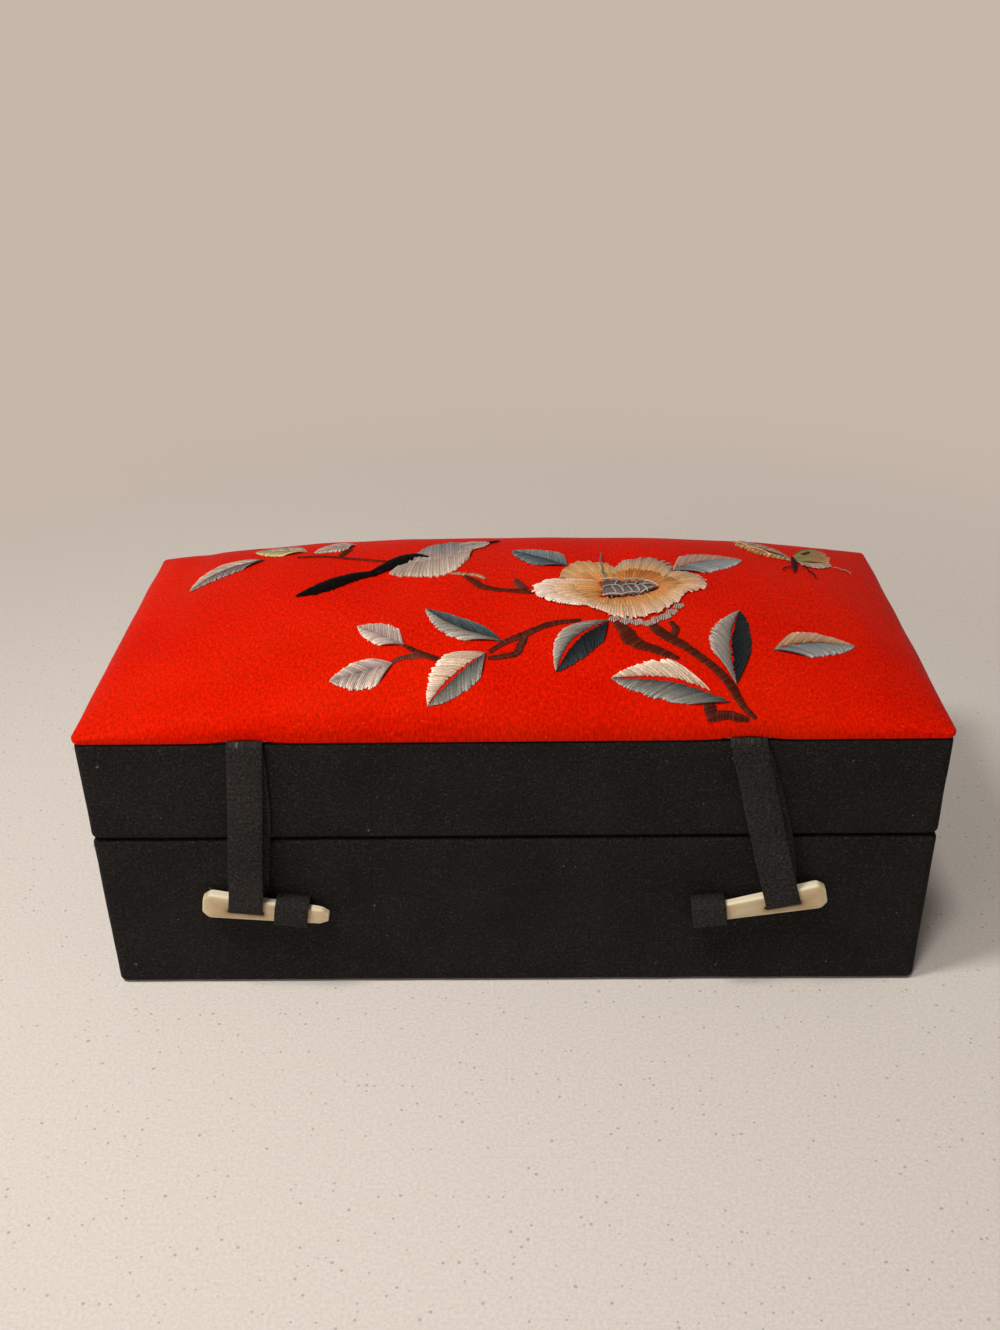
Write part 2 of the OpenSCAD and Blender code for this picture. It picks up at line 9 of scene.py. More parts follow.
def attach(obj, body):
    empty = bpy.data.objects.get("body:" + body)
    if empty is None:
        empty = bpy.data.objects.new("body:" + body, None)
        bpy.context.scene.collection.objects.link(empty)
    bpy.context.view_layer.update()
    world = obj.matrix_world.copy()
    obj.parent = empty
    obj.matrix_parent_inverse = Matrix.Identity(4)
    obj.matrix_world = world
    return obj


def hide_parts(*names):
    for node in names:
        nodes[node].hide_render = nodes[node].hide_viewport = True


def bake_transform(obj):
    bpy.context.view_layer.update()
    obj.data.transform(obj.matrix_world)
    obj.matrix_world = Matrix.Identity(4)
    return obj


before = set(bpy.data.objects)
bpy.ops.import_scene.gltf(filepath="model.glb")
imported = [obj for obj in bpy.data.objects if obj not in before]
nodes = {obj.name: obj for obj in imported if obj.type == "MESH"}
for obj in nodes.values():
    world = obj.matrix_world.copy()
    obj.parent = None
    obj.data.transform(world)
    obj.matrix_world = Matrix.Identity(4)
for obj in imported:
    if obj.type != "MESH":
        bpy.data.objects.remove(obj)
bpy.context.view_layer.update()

# Stand and daylight. The box stands on a pale painted table, seen from in front and above,
# with soft light from the upper left and a weaker light from the right.
def put(tree, kind, props=None, sockets=None):
    """Adds a node, sets its properties, and sets or links its sockets by name or number."""
    node = tree.nodes.new(kind)
    for key, value in (props or {}).items():
        setattr(node, key, value)
    for key, value in (sockets or {}).items():
        if isinstance(value, bpy.types.NodeSocket):
            tree.links.new(value, node.inputs[key])
        else:
            node.inputs[key].default_value = value
    return node


def finish_named(name, **values):
    """A material with a Principled shader, and its tree and shader."""
    material = bpy.data.materials.new(name)
    material.use_nodes = True
    shader = material.node_tree.nodes["Principled BSDF"]
    for key, value in values.items():
        shader.inputs[key.replace("_", " ").title().replace("Ior", "IOR")].default_value = value
    return material, material.node_tree, shader


def mesh_piece(name, points, faces, smooth=True):
    """An object from points in millimetres."""
    mesh = bpy.data.meshes.new(name)
    mesh.from_pydata([tuple(c * 0.001 for c in p) for p in points], [], faces)
    mesh.validate()
    if smooth:
        mesh.shade_smooth()
    piece = bpy.data.objects.new(name, mesh)
    bpy.context.scene.collection.objects.link(piece)
    return piece


def tint(tree, colour, factor):
    """A colour darkened or lightened by a number."""
    return put(tree, "ShaderNodeVectorMath", {"operation": "SCALE"}, {0: colour, "Scale": factor}).outputs[0]


def level(tree, value, low, high, to_low, to_high):
    """A value moved from one span to another, and kept in it."""
    return put(tree, "ShaderNodeMapRange", {"clamp": True},
               {0: value, 1: low, 2: high, 3: to_low, 4: to_high}).outputs[0]


def calc(tree, operation, a, b=0.0):
    return put(tree, "ShaderNodeMath", {"operation": operation}, {0: a, 1: b}).outputs[0]


table_colour = (0.78, 0.715, 0.662, 1)
wall_colour = (0.57, 0.47, 0.405, 1)
floor = mesh_piece("table_top", [(-3000, -3000, 0), (3000, -3000, 0), (3000, 3000, 0), (-3000, 3000, 0)],
                   [(0, 1, 2, 3)], smooth=False)
floor_finish, tree, shader = finish_named("painted table", roughness=0.6, base_color=table_colour)
place = put(tree, "ShaderNodeTexCoord").outputs["Object"]
grit = put(tree, "ShaderNodeTexNoise", None, {"Vector": place, "Scale": 1300.0, "Detail": 2.0}).outputs["Fac"]
specks = put(tree, "ShaderNodeTexVoronoi", None, {"Vector": place, "Scale": 560.0})
some = put(tree, "ShaderNodeSeparateColor", None, {0: specks.outputs["Color"]})
dot = calc(tree, "LESS_THAN", specks.outputs["Distance"], calc(tree, "MULTIPLY", some.outputs[1], 0.22))
dot = calc(tree, "MULTIPLY", dot, calc(tree, "GREATER_THAN", some.outputs[0], 0.45))
paint = calc(tree, "MULTIPLY", level(tree, grit, 0.3, 0.7, 1.07, 0.91), level(tree, dot, 0.0, 1.0, 1.0, 0.66))
tree.links.new(tint(tree, table_colour[:3], paint), shader.inputs["Base Color"])
away = put(tree, "ShaderNodeVectorMath", {"operation": "LENGTH"}, {0: place}).outputs["Value"]
seen = put(tree, "ShaderNodeLightPath").outputs["Is Camera Ray"]
haze = calc(tree, "MULTIPLY", seen, put(tree, "ShaderNodeMapRange", {"interpolation_type": "SMOOTHSTEP"},
                                        {0: away, 1: 0.13, 2: 0.42, 3: 0.0, 4: 1.0}).outputs[0])
wall = put(tree, "ShaderNodeEmission", None, {"Color": wall_colour, "Strength": 1.0})
both = put(tree, "ShaderNodeMixShader", None, {0: haze, 1: shader.outputs[0], 2: wall.outputs[0]})
tree.links.new(both.outputs[0], tree.nodes["Material Output"].inputs["Surface"])
floor.data.materials.append(floor_finish)

camera_at = (0.00238, -0.30417, 0.23777)
camera_yaw = math.radians(-1.045)
camera_pitch = math.radians(29.683)
camera_roll = math.radians(-1.011)
ahead = Vector((math.sin(camera_yaw) * math.cos(camera_pitch), math.cos(camera_yaw) * math.cos(camera_pitch),
                -math.sin(camera_pitch)))
right = Vector((math.cos(camera_yaw), -math.sin(camera_yaw), 0))
up = right.cross(ahead)
right, up = (right * math.cos(camera_roll) + up * math.sin(camera_roll),
             up * math.cos(camera_roll) - right * math.sin(camera_roll))
camera = bpy.data.objects.new("camera", bpy.data.cameras.new("camera"))
camera.matrix_world = Matrix((
    (right.x, up.x, -ahead.x, camera_at[0]),
    (right.y, up.y, -ahead.y, camera_at[1]),
    (right.z, up.z, -ahead.z, camera_at[2]),
    (0, 0, 0, 1)))
camera.data.sensor_width = 36
camera.data.lens = 36.54
camera.data.clip_start = 0.01
bpy.context.scene.collection.objects.link(camera)
bpy.context.scene.camera = camera
bpy.context.scene.view_settings.view_transform = "Standard"


def lamp(name, at, size, watts, colour):
    data = bpy.data.lights.new(name, "AREA")
    data.shape = "DISK"
    data.size = size
    data.energy = watts
    data.color = colour
    light = bpy.data.objects.new(name, data)
    light.location = at
    light.rotation_euler = (Vector((0, 0, 0.05)) - Vector(at)).to_track_quat("-Z", "Y").to_euler()
    bpy.context.scene.collection.objects.link(light)


lamp("window", (-0.24, -0.15, 0.55), 0.12, 1.8, (1, 0.96, 0.91))
lamp("room", (-0.45, -0.60, 0.30), 0.4, 1.1, (1, 0.95, 0.9))
ceiling = bpy.data.objects.new("ceiling", bpy.data.lights.new("ceiling", "SUN"))
ceiling.data.energy = 0.92
ceiling.data.angle = math.radians(8)
ceiling.data.color = (1, 0.96, 0.91)
ceiling.rotation_euler = Vector((-0.22, -0.35, 1)).to_track_quat("Z", "Y").to_euler()
bpy.context.scene.collection.objects.link(ceiling)
world = bpy.data.worlds.new("room light")
bpy.context.scene.world = world
world.use_nodes = True
tree = world.node_tree
sky = tree.nodes["Background"]
seen = put(tree, "ShaderNodeLightPath").outputs["Is Camera Ray"]
wall = put(tree, "ShaderNodeBackground", None, {"Color": wall_colour, "Strength": 1.0})
sky.inputs["Color"].default_value = (1, 0.92, 0.85, 1)
sky.inputs["Strength"].default_value = 0.15
both = put(tree, "ShaderNodeMixShader", None, {0: seen, 1: sky.outputs[0], 2: wall.outputs[0]})
tree.links.new(both.outputs[0], tree.nodes["World Output"].inputs["Surface"])

# Boards. The walls and floors of both trays are cut from grey pressed board, and the card under
# the padded top is a thinner sheet of the same.
board_finish, tree, shader = finish_named("grey board", roughness=0.9)
place = put(tree, "ShaderNodeTexCoord").outputs["Object"]
fibres = put(tree, "ShaderNodeTexNoise", None, {"Vector": place, "Scale": 900.0, "Detail": 4.0}).outputs["Fac"]
tree.links.new(tint(tree, (0.38, 0.34, 0.27), level(tree, fibres, 0.3, 0.7, 0.8, 1.15)), shader.inputs["Base Color"])
tree.links.new(put(tree, "ShaderNodeBump", None, {"Strength": 0.4, "Distance": 0.0003, "Height": fibres}).outputs[0],
               shader.inputs["Normal"])
for tray in ("base", "lid"):
    for side in ("front", "back", "left", "right"):
        nodes[f"{tray}_{side}_board"].material_slots[0].material = board_finish
for name in ("base_floor_board", "lid_top_board", "lid_pad_card"):
    nodes[name].material_slots[0].material = board_finish

# Covering cloth of both trays. Black cotton is glued round the boards, its hem turned under the
# floor and over the rim, so every edge is soft and the faces are very slightly uneven.
box_w = 200.0
box_d = 96.0
corner_r = 2.0
base_low = 0.4
base_rim = 44.3
lid_rim = 45.0
lid_top = 71.5
cloth_t = 0.45
wall_t = 3.5
hem_w = 12.0
edge_r = 1.1
black = (0.0112, 0.0097, 0.0089)


def group_of(name, inputs, outputs):
    """An empty shader group with its named sockets, and its input and output nodes."""
    group = bpy.data.node_groups.new(name, "ShaderNodeTree")
    for label, kind, value in inputs:
        socket = group.interface.new_socket(label, in_out="INPUT", socket_type=kind)
        if value is not None:
            socket.default_value = value
    for label, kind in outputs:
        group.interface.new_socket(label, in_out="OUTPUT", socket_type=kind)
    return group, group.nodes.new("NodeGroupInput").outputs, group.nodes.new("NodeGroupOutput")


def weave_group():
    """Plain weave with uneven threads, specks of lint and painted glints of light, on coordinates in metres."""
    group, given, out = group_of(
        "plain weave",
        [("Vector", "NodeSocketVector", None), ("Threads", "NodeSocketFloat", 3000.0),
         ("Colour", "NodeSocketColor", (1, 1, 1, 1)), ("Lint", "NodeSocketFloat", 1.0)],
        [("Colour", "NodeSocketColor"), ("Height", "NodeSocketFloat")])
    grid = put(group, "ShaderNodeVectorMath", {"operation": "SCALE"}, {0: given["Vector"], "Scale": given["Threads"]})
    along = put(group, "ShaderNodeSeparateXYZ", None, {0: grid.outputs[0]})
    warp = calc(group, "ABSOLUTE", calc(group, "SINE", calc(group, "MULTIPLY", along.outputs[0], math.pi)))
    weft = calc(group, "ABSOLUTE", calc(group, "SINE", calc(group, "MULTIPLY", along.outputs[1], math.pi)))
    cell = calc(group, "ADD", calc(group, "FLOOR", along.outputs[0]), calc(group, "FLOOR", along.outputs[1]))
    over = calc(group, "GREATER_THAN", calc(group, "FRACT", calc(group, "MULTIPLY", cell, 0.5)), 0.25)
    threads = put(group, "ShaderNodeMix", None, {0: over, 2: warp, 3: weft}).outputs[0]
    slub = put(group, "ShaderNodeTexNoise", None,
               {"Vector": given["Vector"], "Scale": 1500.0, "Detail": 4.0, "Roughness": 0.75}).outputs["Fac"]
    cloud = put(group, "ShaderNodeTexNoise", None,
                {"Vector": given["Vector"], "Scale": 60.0, "Detail": 2.0}).outputs["Fac"]
    ragged = put(group, "ShaderNodeVectorMath", {"operation": "SCALE"},
                 {0: put(group, "ShaderNodeTexNoise", None, {"Vector": given["Vector"], "Scale": 900.0}).outputs["Color"],
                  "Scale": 0.0011}).outputs[0]
    ragged = put(group, "ShaderNodeVectorMath", {"operation": "ADD"}, {0: given["Vector"], 1: ragged}).outputs[0]
    fluff_and_glint_cells = put(group, "ShaderNodeTexVoronoi", None, {"Vector": ragged, "Scale": 330.0})
    chance = put(group, "ShaderNodeSeparateColor", None, {0: fluff_and_glint_cells.outputs["Color"]})
    dot = level(group, fluff_and_glint_cells.outputs["Distance"], 0.0, calc(group, "MULTIPLY", chance.outputs[1], 0.13), 1.0, 0.0)
    some = calc(group, "GREATER_THAN", chance.outputs[0], 0.6)
    # Painted highlights: small glints of the nap, lightened towards the same pale grey as the lint specks.
    nap = put(group, "ShaderNodeTexVoronoi", None, {"Vector": given["Vector"], "Scale": 2000.0})
    painted_glint_chance = put(group, "ShaderNodeSeparateColor", None, {0: nap.outputs["Color"]})
    glint = calc(group, "MULTIPLY", level(group, nap.outputs["Distance"], 0.1, 0.45, 1.0, 0.0),
                 level(group, painted_glint_chance.outputs[0], 0.6, 1.0, 0.0, 0.3))
    lint = calc(group, "MULTIPLY", calc(group, "MULTIPLY", dot, some), given["Lint"])
    # From here lint holds the real lint specks together with the painted glints.
    lint = calc(group, "ADD", lint, glint)
    shade = calc(group, "MULTIPLY", level(group, slub, 0.32, 0.7, 0.05, 2.4), level(group, cloud, 0.3, 0.7, 0.8, 1.2))
    shade = calc(group, "MULTIPLY", shade, level(group, threads, 0.0, 1.0, 0.7, 1.1))
    cloth = tint(group, given["Colour"], shade)
    lint_and_painted_glints = put(group, "ShaderNodeMix", {"data_type": "RGBA"}, {0: lint, 6: cloth, 7: (0.22, 0.2, 0.18, 1)})
    group.links.new(lint_and_painted_glints.outputs[2], out.inputs["Colour"])
    height = calc(group, "ADD", threads, calc(group, "MULTIPLY", slub, 1.4))
    group.links.new(height, out.inputs["Height"])
    return group


plain_weave = weave_group()


def cloth_finish(name, colour, threads, lint, roughness, by_uv=True):
    """Woven cloth with a soft nap, its glints of light painted into the colour."""
    material, tree, shader = finish_named(name, roughness=roughness)
    shader.inputs["Specular IOR Level"].default_value = 0.12
    place = put(tree, "ShaderNodeTexCoord").outputs["UV" if by_uv else "Object"]
    weave = put(tree, "ShaderNodeGroup", {"node_tree": plain_weave},
                {"Vector": place, "Threads": threads, "Colour": (*colour, 1), "Lint": lint})
    tree.links.new(weave.outputs["Colour"], shader.inputs["Base Color"])
    bump = put(tree, "ShaderNodeBump", None, {"Strength": 0.55, "Distance": 0.00018, "Height": weave.outputs["Height"]})
    tree.links.new(bump.outputs[0], shader.inputs["Normal"])
    return material


def ripple(x, y, length, seed):
    """Even, seeded unevenness from -1 to 1 over a surface, with bumps about length apart."""
    rng = np.random.default_rng(seed)
    total = 0
    for _ in range(7):
        angle, phase, size = rng.uniform(0, math.pi), rng.uniform(0, 2 * math.pi), length * rng.uniform(0.7, 1.6)
        total = total + np.sin((x * math.cos(angle) + y * math.sin(angle)) * 2 * math.pi / size + phase)
    return total / 7 * 1.8


def arc(cx, cy, r, a0, a1, n):
    """Points on an arc, in degrees."""
    return [(cx + r * math.cos(math.radians(a0 + (a1 - a0) * i / n)),
             cy + r * math.sin(math.radians(a0 + (a1 - a0) * i / n))) for i in range(n + 1)]


def steps(a, b, gap):
    """Points from a to b, no further apart than gap, without b."""
    n = max(1, math.ceil(math.dist(a, b) / gap))
    return [(a[0] + (b[0] - a[0]) * i / n, a[1] + (b[1] - a[1]) * i / n) for i in range(n)]


def round_plan(w, d, r, gap):
    """Points round a rectangle with rounded corners, and the way out at each."""
    ends = [(w / 2, d / 2 - r), (-w / 2 + r, d / 2), (-w / 2, -d / 2 + r), (w / 2 - r, -d / 2)]
    points, out = [], []
    for k, (sx, sy) in enumerate([(1, -1), (1, 1), (-1, 1), (-1, -1)]):
        turn = arc(sx * (w / 2 - r), sy * (d / 2 - r), r, 90 * k - 90, 90 * k, 5)
        points += turn
        out += arc(0, 0, 1, 90 * k - 90, 90 * k, 5)
        straight = steps(turn[-1], ends[k], gap)[1:]
        points += straight
        out += [out[-1]] * len(straight)
    return points, out


def cloth_shell(name, profile, seed, uneven=0.12):
    """Cloth swept round the box. The profile is a closed list of (distance in from the side, height)."""
    plan, out = round_plan(box_w, box_d, corner_r, 2.5)
    n, m = len(plan), len(profile)
    run = np.cumsum([0] + [math.dist(plan[i], plan[(i + 1) % n]) for i in range(n)])
    rise = np.cumsum([0] + [math.dist(profile[i], profile[(i + 1) % m]) for i in range(m)])
    points = []
    for i in range(n):
        for inset, z in profile:
            dent = uneven * min(0.0, ripple(run[i], z, 17.0, seed)) * (inset < 1)
            points.append((plan[i][0] * (1 - 2 * inset / box_w) + out[i][0] * dent,
                           plan[i][1] * (1 - 2 * inset / box_d) + out[i][1] * dent, z))
    faces, corners = [], []
    for i in range(n):
        j = (i + 1) % n
        for a in range(m):
            b = (a + 1) % m
            faces.append((i * m + a, j * m + a, j * m + b, i * m + b))
            corners += [(run[i], rise[a]), (run[i + 1], rise[a]), (run[i + 1], rise[a + 1]), (run[i], rise[a + 1])]
    piece = mesh_piece(name, points, faces)
    layer = piece.data.uv_layers.new(name="cloth")
    layer.data.foreach_set("uv", (np.array(corners) * 0.001).ravel())
    return piece


def tray_profile(floor_z, rim_z):
    """Hem, floor edge, side, rim and turned-in edge of a tray's cloth, outside and then back inside."""
    up = 1 if rim_z > floor_z else -1

    def path(t):
        low, high, r = floor_z + up * t, rim_z - up * t, edge_r - t
        turns = [arc(r, 0, r, 270, 180, 5), arc(r, 0, r, 180, 90, 5), arc(0, 0, r, 90, 0, 5)]
        line = [(hem_w, low), (hem_w / 2, low)]
        line += [(x + t, low + up * (r + y)) for x, y in turns[0]]
        line += [(t, z) for z in np.linspace(low + up * (r + 1), high - up * (r + 1), 9)]
        line += [(x + t, high - up * (r - y)) for x, y in turns[1]]
        line += [(x + wall_t - t - r, high - up * (r - y)) for x, y in turns[2]]
        line += [(wall_t - t, z) for z in np.linspace(high - up * (r + 1), rim_z - up * 12, 4)]
        return line
    return path(0) + path(cloth_t)[::-1]


black_cloth = cloth_finish("black cotton", black, 3200.0, 1.0, 0.85)
base_cover = cloth_shell("base_cover", tray_profile(base_low, base_rim), 3)
lid_cover = cloth_shell("lid_cover", tray_profile(lid_top, lid_rim), 8)
for cover, body in ((base_cover, "base"), (lid_cover, "lid")):
    cover.data.materials.append(black_cloth)
    if body == "lid":
        cover.data.flip_normals()
    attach(cover, body)
    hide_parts(f"{body}_cover_cloth")

# Sheet under the base. Black paper covers the cloth's hem, a little short of the edges.
paper_finish, tree, shader = finish_named("black paper", roughness=0.8)
place = put(tree, "ShaderNodeTexCoord").outputs["Object"]
pulp = put(tree, "ShaderNodeTexNoise", None, {"Vector": place, "Scale": 1600.0, "Detail": 4.0}).outputs["Fac"]
tree.links.new(tint(tree, (0.024, 0.022, 0.021), level(tree, pulp, 0.3, 0.7, 0.7, 1.35)), shader.inputs["Base Color"])
tree.links.new(put(tree, "ShaderNodeBump", None, {"Strength": 0.3, "Distance": 0.0001, "Height": pulp}).outputs[0],
               shader.inputs["Normal"])
nodes["base_underside_sheet"].material_slots[0].material = paper_finish

# Lining. Gold silk over card on the four inner walls of each tray, and a soft silk pad on the
# floor of the base and under the top of the lid, drawn in a little along its edges.
gold = (0.56, 0.33, 0.085)
lining_t = 1.0
pad_gap = 0.3
pad_edge_h = 2.5
pad_crown_h = 1.8


def satin_group():
    """Satin weave: long fine floats, a grain of small bright and dark threads, soft clouding, and painted glints and
    patches of painted sheen in the glint colour.
    """
    group, given, out = group_of(
        "satin weave",
        [("Vector", "NodeSocketVector", None), ("Grain", "NodeSocketFloat", 1.0),
         ("Colour", "NodeSocketColor", (1, 1, 1, 1)), ("Glint", "NodeSocketColor", (1, 1, 1, 1))],
        [("Colour", "NodeSocketColor"), ("Height", "NodeSocketFloat"), ("Roughness", "NodeSocketFloat")])
    drawn = put(group, "ShaderNodeMapping", {"vector_type": "POINT"},
                {"Vector": given["Vector"], "Scale": (1.0, 0.35, 1.0)}).outputs[0]
    floats = put(group, "ShaderNodeTexNoise", None,
                 {"Vector": drawn, "Scale": 2000.0, "Detail": 2.0, "Roughness": 0.6}).outputs["Fac"]
    grain = put(group, "ShaderNodeTexNoise", None,
                {"Vector": given["Vector"], "Scale": 1250.0, "Detail": 3.0, "Roughness": 0.7}).outputs["Fac"]
    cloud = put(group, "ShaderNodeTexNoise", None,
                {"Vector": given["Vector"], "Scale": 45.0, "Detail": 2.0}).outputs["Fac"]
    # Painted highlights: sparse bright flecks of the glint colour where the satin would catch the light.
    fluff_and_glint_cells = put(group, "ShaderNodeTexVoronoi", None, {"Vector": given["Vector"], "Scale": 900.0})
    chance = put(group, "ShaderNodeSeparateColor", None, {0: fluff_and_glint_cells.outputs["Color"]})
    glint = calc(group, "MULTIPLY", calc(group, "LESS_THAN", fluff_and_glint_cells.outputs["Distance"], 0.22),
                 level(group, chance.outputs[0], 0.8, 1.0, 0.0, 0.35))
    both = calc(group, "ADD", level(group, floats, 0.3, 0.7, -0.5, 0.5), level(group, grain, 0.3, 0.7, -0.5, 0.5))
    shade = calc(group, "ADD", calc(group, "MULTIPLY", both, calc(group, "MULTIPLY", given["Grain"], 0.15)),
                 level(group, cloud, 0.3, 0.7, 0.95, 1.05))
    silk = tint(group, given["Colour"], shade)
    # Painted sheen: soft patches where a little more of the glint colour is mixed in.
    painted_sheen_patch = put(group, "ShaderNodeTexNoise", None, {"Vector": given["Vector"], "Scale": 26.0, "Detail": 3.0}).outputs["Fac"]
    glint = calc(group, "ADD", glint, level(group, painted_sheen_patch, 0.38, 0.62, 0.0, 0.045))
    lit = put(group, "ShaderNodeMix", {"data_type": "RGBA"}, {0: glint, 6: silk, 7: given["Glint"]})
    group.links.new(lit.outputs[2], out.inputs["Colour"])
    group.links.new(calc(group, "ADD", floats, grain), out.inputs["Height"])
    group.links.new(level(group, grain, 0.3, 0.7, 0.36, 0.55), out.inputs["Roughness"])
    return group


satin_weave = satin_group()


def satin_finish(name, colour, glint, grain, by_uv=True, bump=0.35):
    material, tree, shader = finish_named(name)
    shader.inputs["Specular IOR Level"].default_value = 0.05
    shader.inputs["Specular Tint"].default_value = (*glint, 1)
    place = put(tree, "ShaderNodeTexCoord").outputs["UV" if by_uv else "Object"]
    # The glint colour tints the shader's reflection and is also painted into the base colour as glints and sheen.
    weave = put(tree, "ShaderNodeGroup", {"node_tree": satin_weave},
                {"Vector": place, "Grain": grain, "Colour": (*colour, 1), "Glint": (*glint, 1)})
    tree.links.new(weave.outputs["Colour"], shader.inputs["Base Color"])
    tree.links.new(weave.outputs["Roughness"], shader.inputs["Roughness"])
    dents = put(tree, "ShaderNodeBump", None, {"Strength": bump, "Distance": 0.0001, "Height": weave.outputs["Height"]})
    tree.links.new(dents.outputs[0], shader.inputs["Normal"])
    return material


gold_silk = satin_finish("gold silk", gold, (0.8, 0.6, 0.3), 1.0, by_uv=False)
for tray in ("base", "lid"):
    for side in ("front", "back", "left", "right"):
        nodes[f"{tray}_lining_{side}"].material_slots[0].material = gold_silk


def swell(t, full):
    return np.maximum(0, 1 - np.minimum(np.abs(t), 1) ** full[0]) ** full[1]


def pillow_grid(w, d, r, nx, ny):
    """Rows of plan points over a rounded rectangle, close together at its edges, and their shares of it."""
    s = np.sin(np.linspace(-math.pi / 2, math.pi / 2, nx + 1))
    t = np.sin(np.linspace(-math.pi / 2, math.pi / 2, ny + 1))
    s, t = np.meshgrid(s, t)
    x, y = s * w / 2, t * d / 2
    dx, dy = np.maximum(0, np.abs(x) - (w / 2 - r)), np.maximum(0, np.abs(y) - (d / 2 - r))
    draw = np.where((dx > 0) & (dy > 0), np.maximum(dx, dy) / np.maximum(np.hypot(dx, dy), 1e-9), 1)
    x = np.where(dx > 0, np.sign(x) * (w / 2 - r + dx * draw), x)
    y = np.where(dy > 0, np.sign(y) * (d / 2 - r + dy * draw), y)
    return x, y


def rim_of(nx, ny):
    """Indices round the edge of a grid, anticlockwise from the front left."""
    row = nx + 1
    return ([i for i in range(nx)] + [nx + row * j for j in range(ny)]
            + [row * ny + i for i in range(nx, 0, -1)] + [row * j for j in range(ny, 0, -1)])


def pillow(name, x, y, z, skirt, centre_z):
    """A closed padded form: a grid on top, rings round its edge going down and under, and a fan beneath.
    A ring of the skirt is (share of the plan in x, share in y, height from the edge)."""
    ny, nx = x.shape[0] - 1, x.shape[1] - 1
    points = [(a, b, c) for a, b, c in zip(x.ravel(), y.ravel(), z.ravel())]
    faces = [(j * (nx + 1) + i, j * (nx + 1) + i + 1, (j + 1) * (nx + 1) + i + 1, (j + 1) * (nx + 1) + i)
             for j in range(ny) for i in range(nx)]
    edge = rim_of(nx, ny)
    last = edge
    for grow_x, grow_y, height in skirt:
        ring = []
        for k, e in enumerate(edge):
            a, b, c = points[e]
            ring.append(len(points))
            points.append((a * grow_x, b * grow_y, height(a, b, c) if callable(height) else c + height))
        faces += [(last[(k + 1) % len(edge)], last[k], ring[k], ring[(k + 1) % len(edge)]) for k in range(len(edge))]
        last = ring
    points.append((0, 0, centre_z))
    faces += [(last[(k + 1) % len(edge)], last[k], len(points) - 1) for k in range(len(edge))]
    piece = mesh_piece(name, points, faces)
    layer = piece.data.uv_layers.new(name="cloth")
    at = np.array(points)[[loop.vertex_index for loop in piece.data.loops]] * 0.001
    layer.data.foreach_set("uv", np.column_stack([at[:, 0], at[:, 1] + at[:, 2] * 0.6]).ravel())
    return piece


def lining_cushion(name, z0, up, seed):
    """A silk pad: crowned, with small puckers where the silk is drawn round its edges."""
    w = box_w - 2 * (wall_t + lining_t + pad_gap)
    d = box_d - 2 * (wall_t + lining_t + pad_gap)
    x, y = pillow_grid(w, d, corner_r, 180, 100)
    high = swell(2 * x / w, (3.2, 0.5)) * swell(2 * y / d, (3.0, 0.5))
    near = np.minimum(w / 2 - np.abs(x), d / 2 - np.abs(y))
    pucker = 0.22 * ripple(x * 1.0, y, 5.0, seed) * np.exp(-near / 7.0) * np.minimum(1, near / 1.5)
    soft = 0.18 * ripple(x, y, 30.0, seed + 1) * high
    z = z0 + up * (pad_edge_h - 0.5 + pad_crown_h * high + pucker + soft)
    skirt = [(1.0, 1.0, up * -0.7), (0.999, 0.998, up * -1.5), (0.996, 0.992, lambda a, b, c: z0 + up * 0.25),
             (0.97, 0.94, lambda a, b, c: z0 + up * 0.02)]
    piece = pillow(name, x, y, z, skirt, z0 + up * 0.02)
    if up < 0:
        piece.data.flip_normals()
    piece.data.materials.append(gold_silk_cushion)
    return piece


gold_silk_cushion = satin_finish("gold silk of the pads", gold, (0.8, 0.6, 0.3), 1.0)
for tray, z0, up in (("base", 3.4, 1), ("lid", 68.5, -1)):
    cushion = lining_cushion(f"{tray}_cushion", z0, up, 21 if up > 0 else 31)
    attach(cushion, tray)
    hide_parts("base_floor_pad" if tray == "base" else "lid_ceiling_pad")

# Padded top. Red satin is drawn over a thick cotton wadding on a card and turned under it. It stands
# full above the lid, steep along the front and back, and lifts a little over each ribbon.
silk_edge_h = 1.4
crown_h = 15.8
full_x = (2.5, 0.62)
full_y = (2.1, 0.45)
ribbon_at = {"left": -60.5, "right": 53.5}
red = (0.65, 0.0068, 0.0001)


def silk_level(x, y):
    """Height of the taut silk over a point of the box, without its small unevenness."""
    return lid_top + silk_edge_h + crown_h * swell(2 * x / box_w, full_x) * swell(2 * y / box_d, full_y)


def over_ribbons(x, y):
    """How far the ribbons' glued ends push the silk's front edge up."""
    return sum(0.95 * np.exp(-((x - at) / 6.2) ** 2) * np.exp(-(y + box_d / 2) / 3.5) for at in ribbon_at.values())


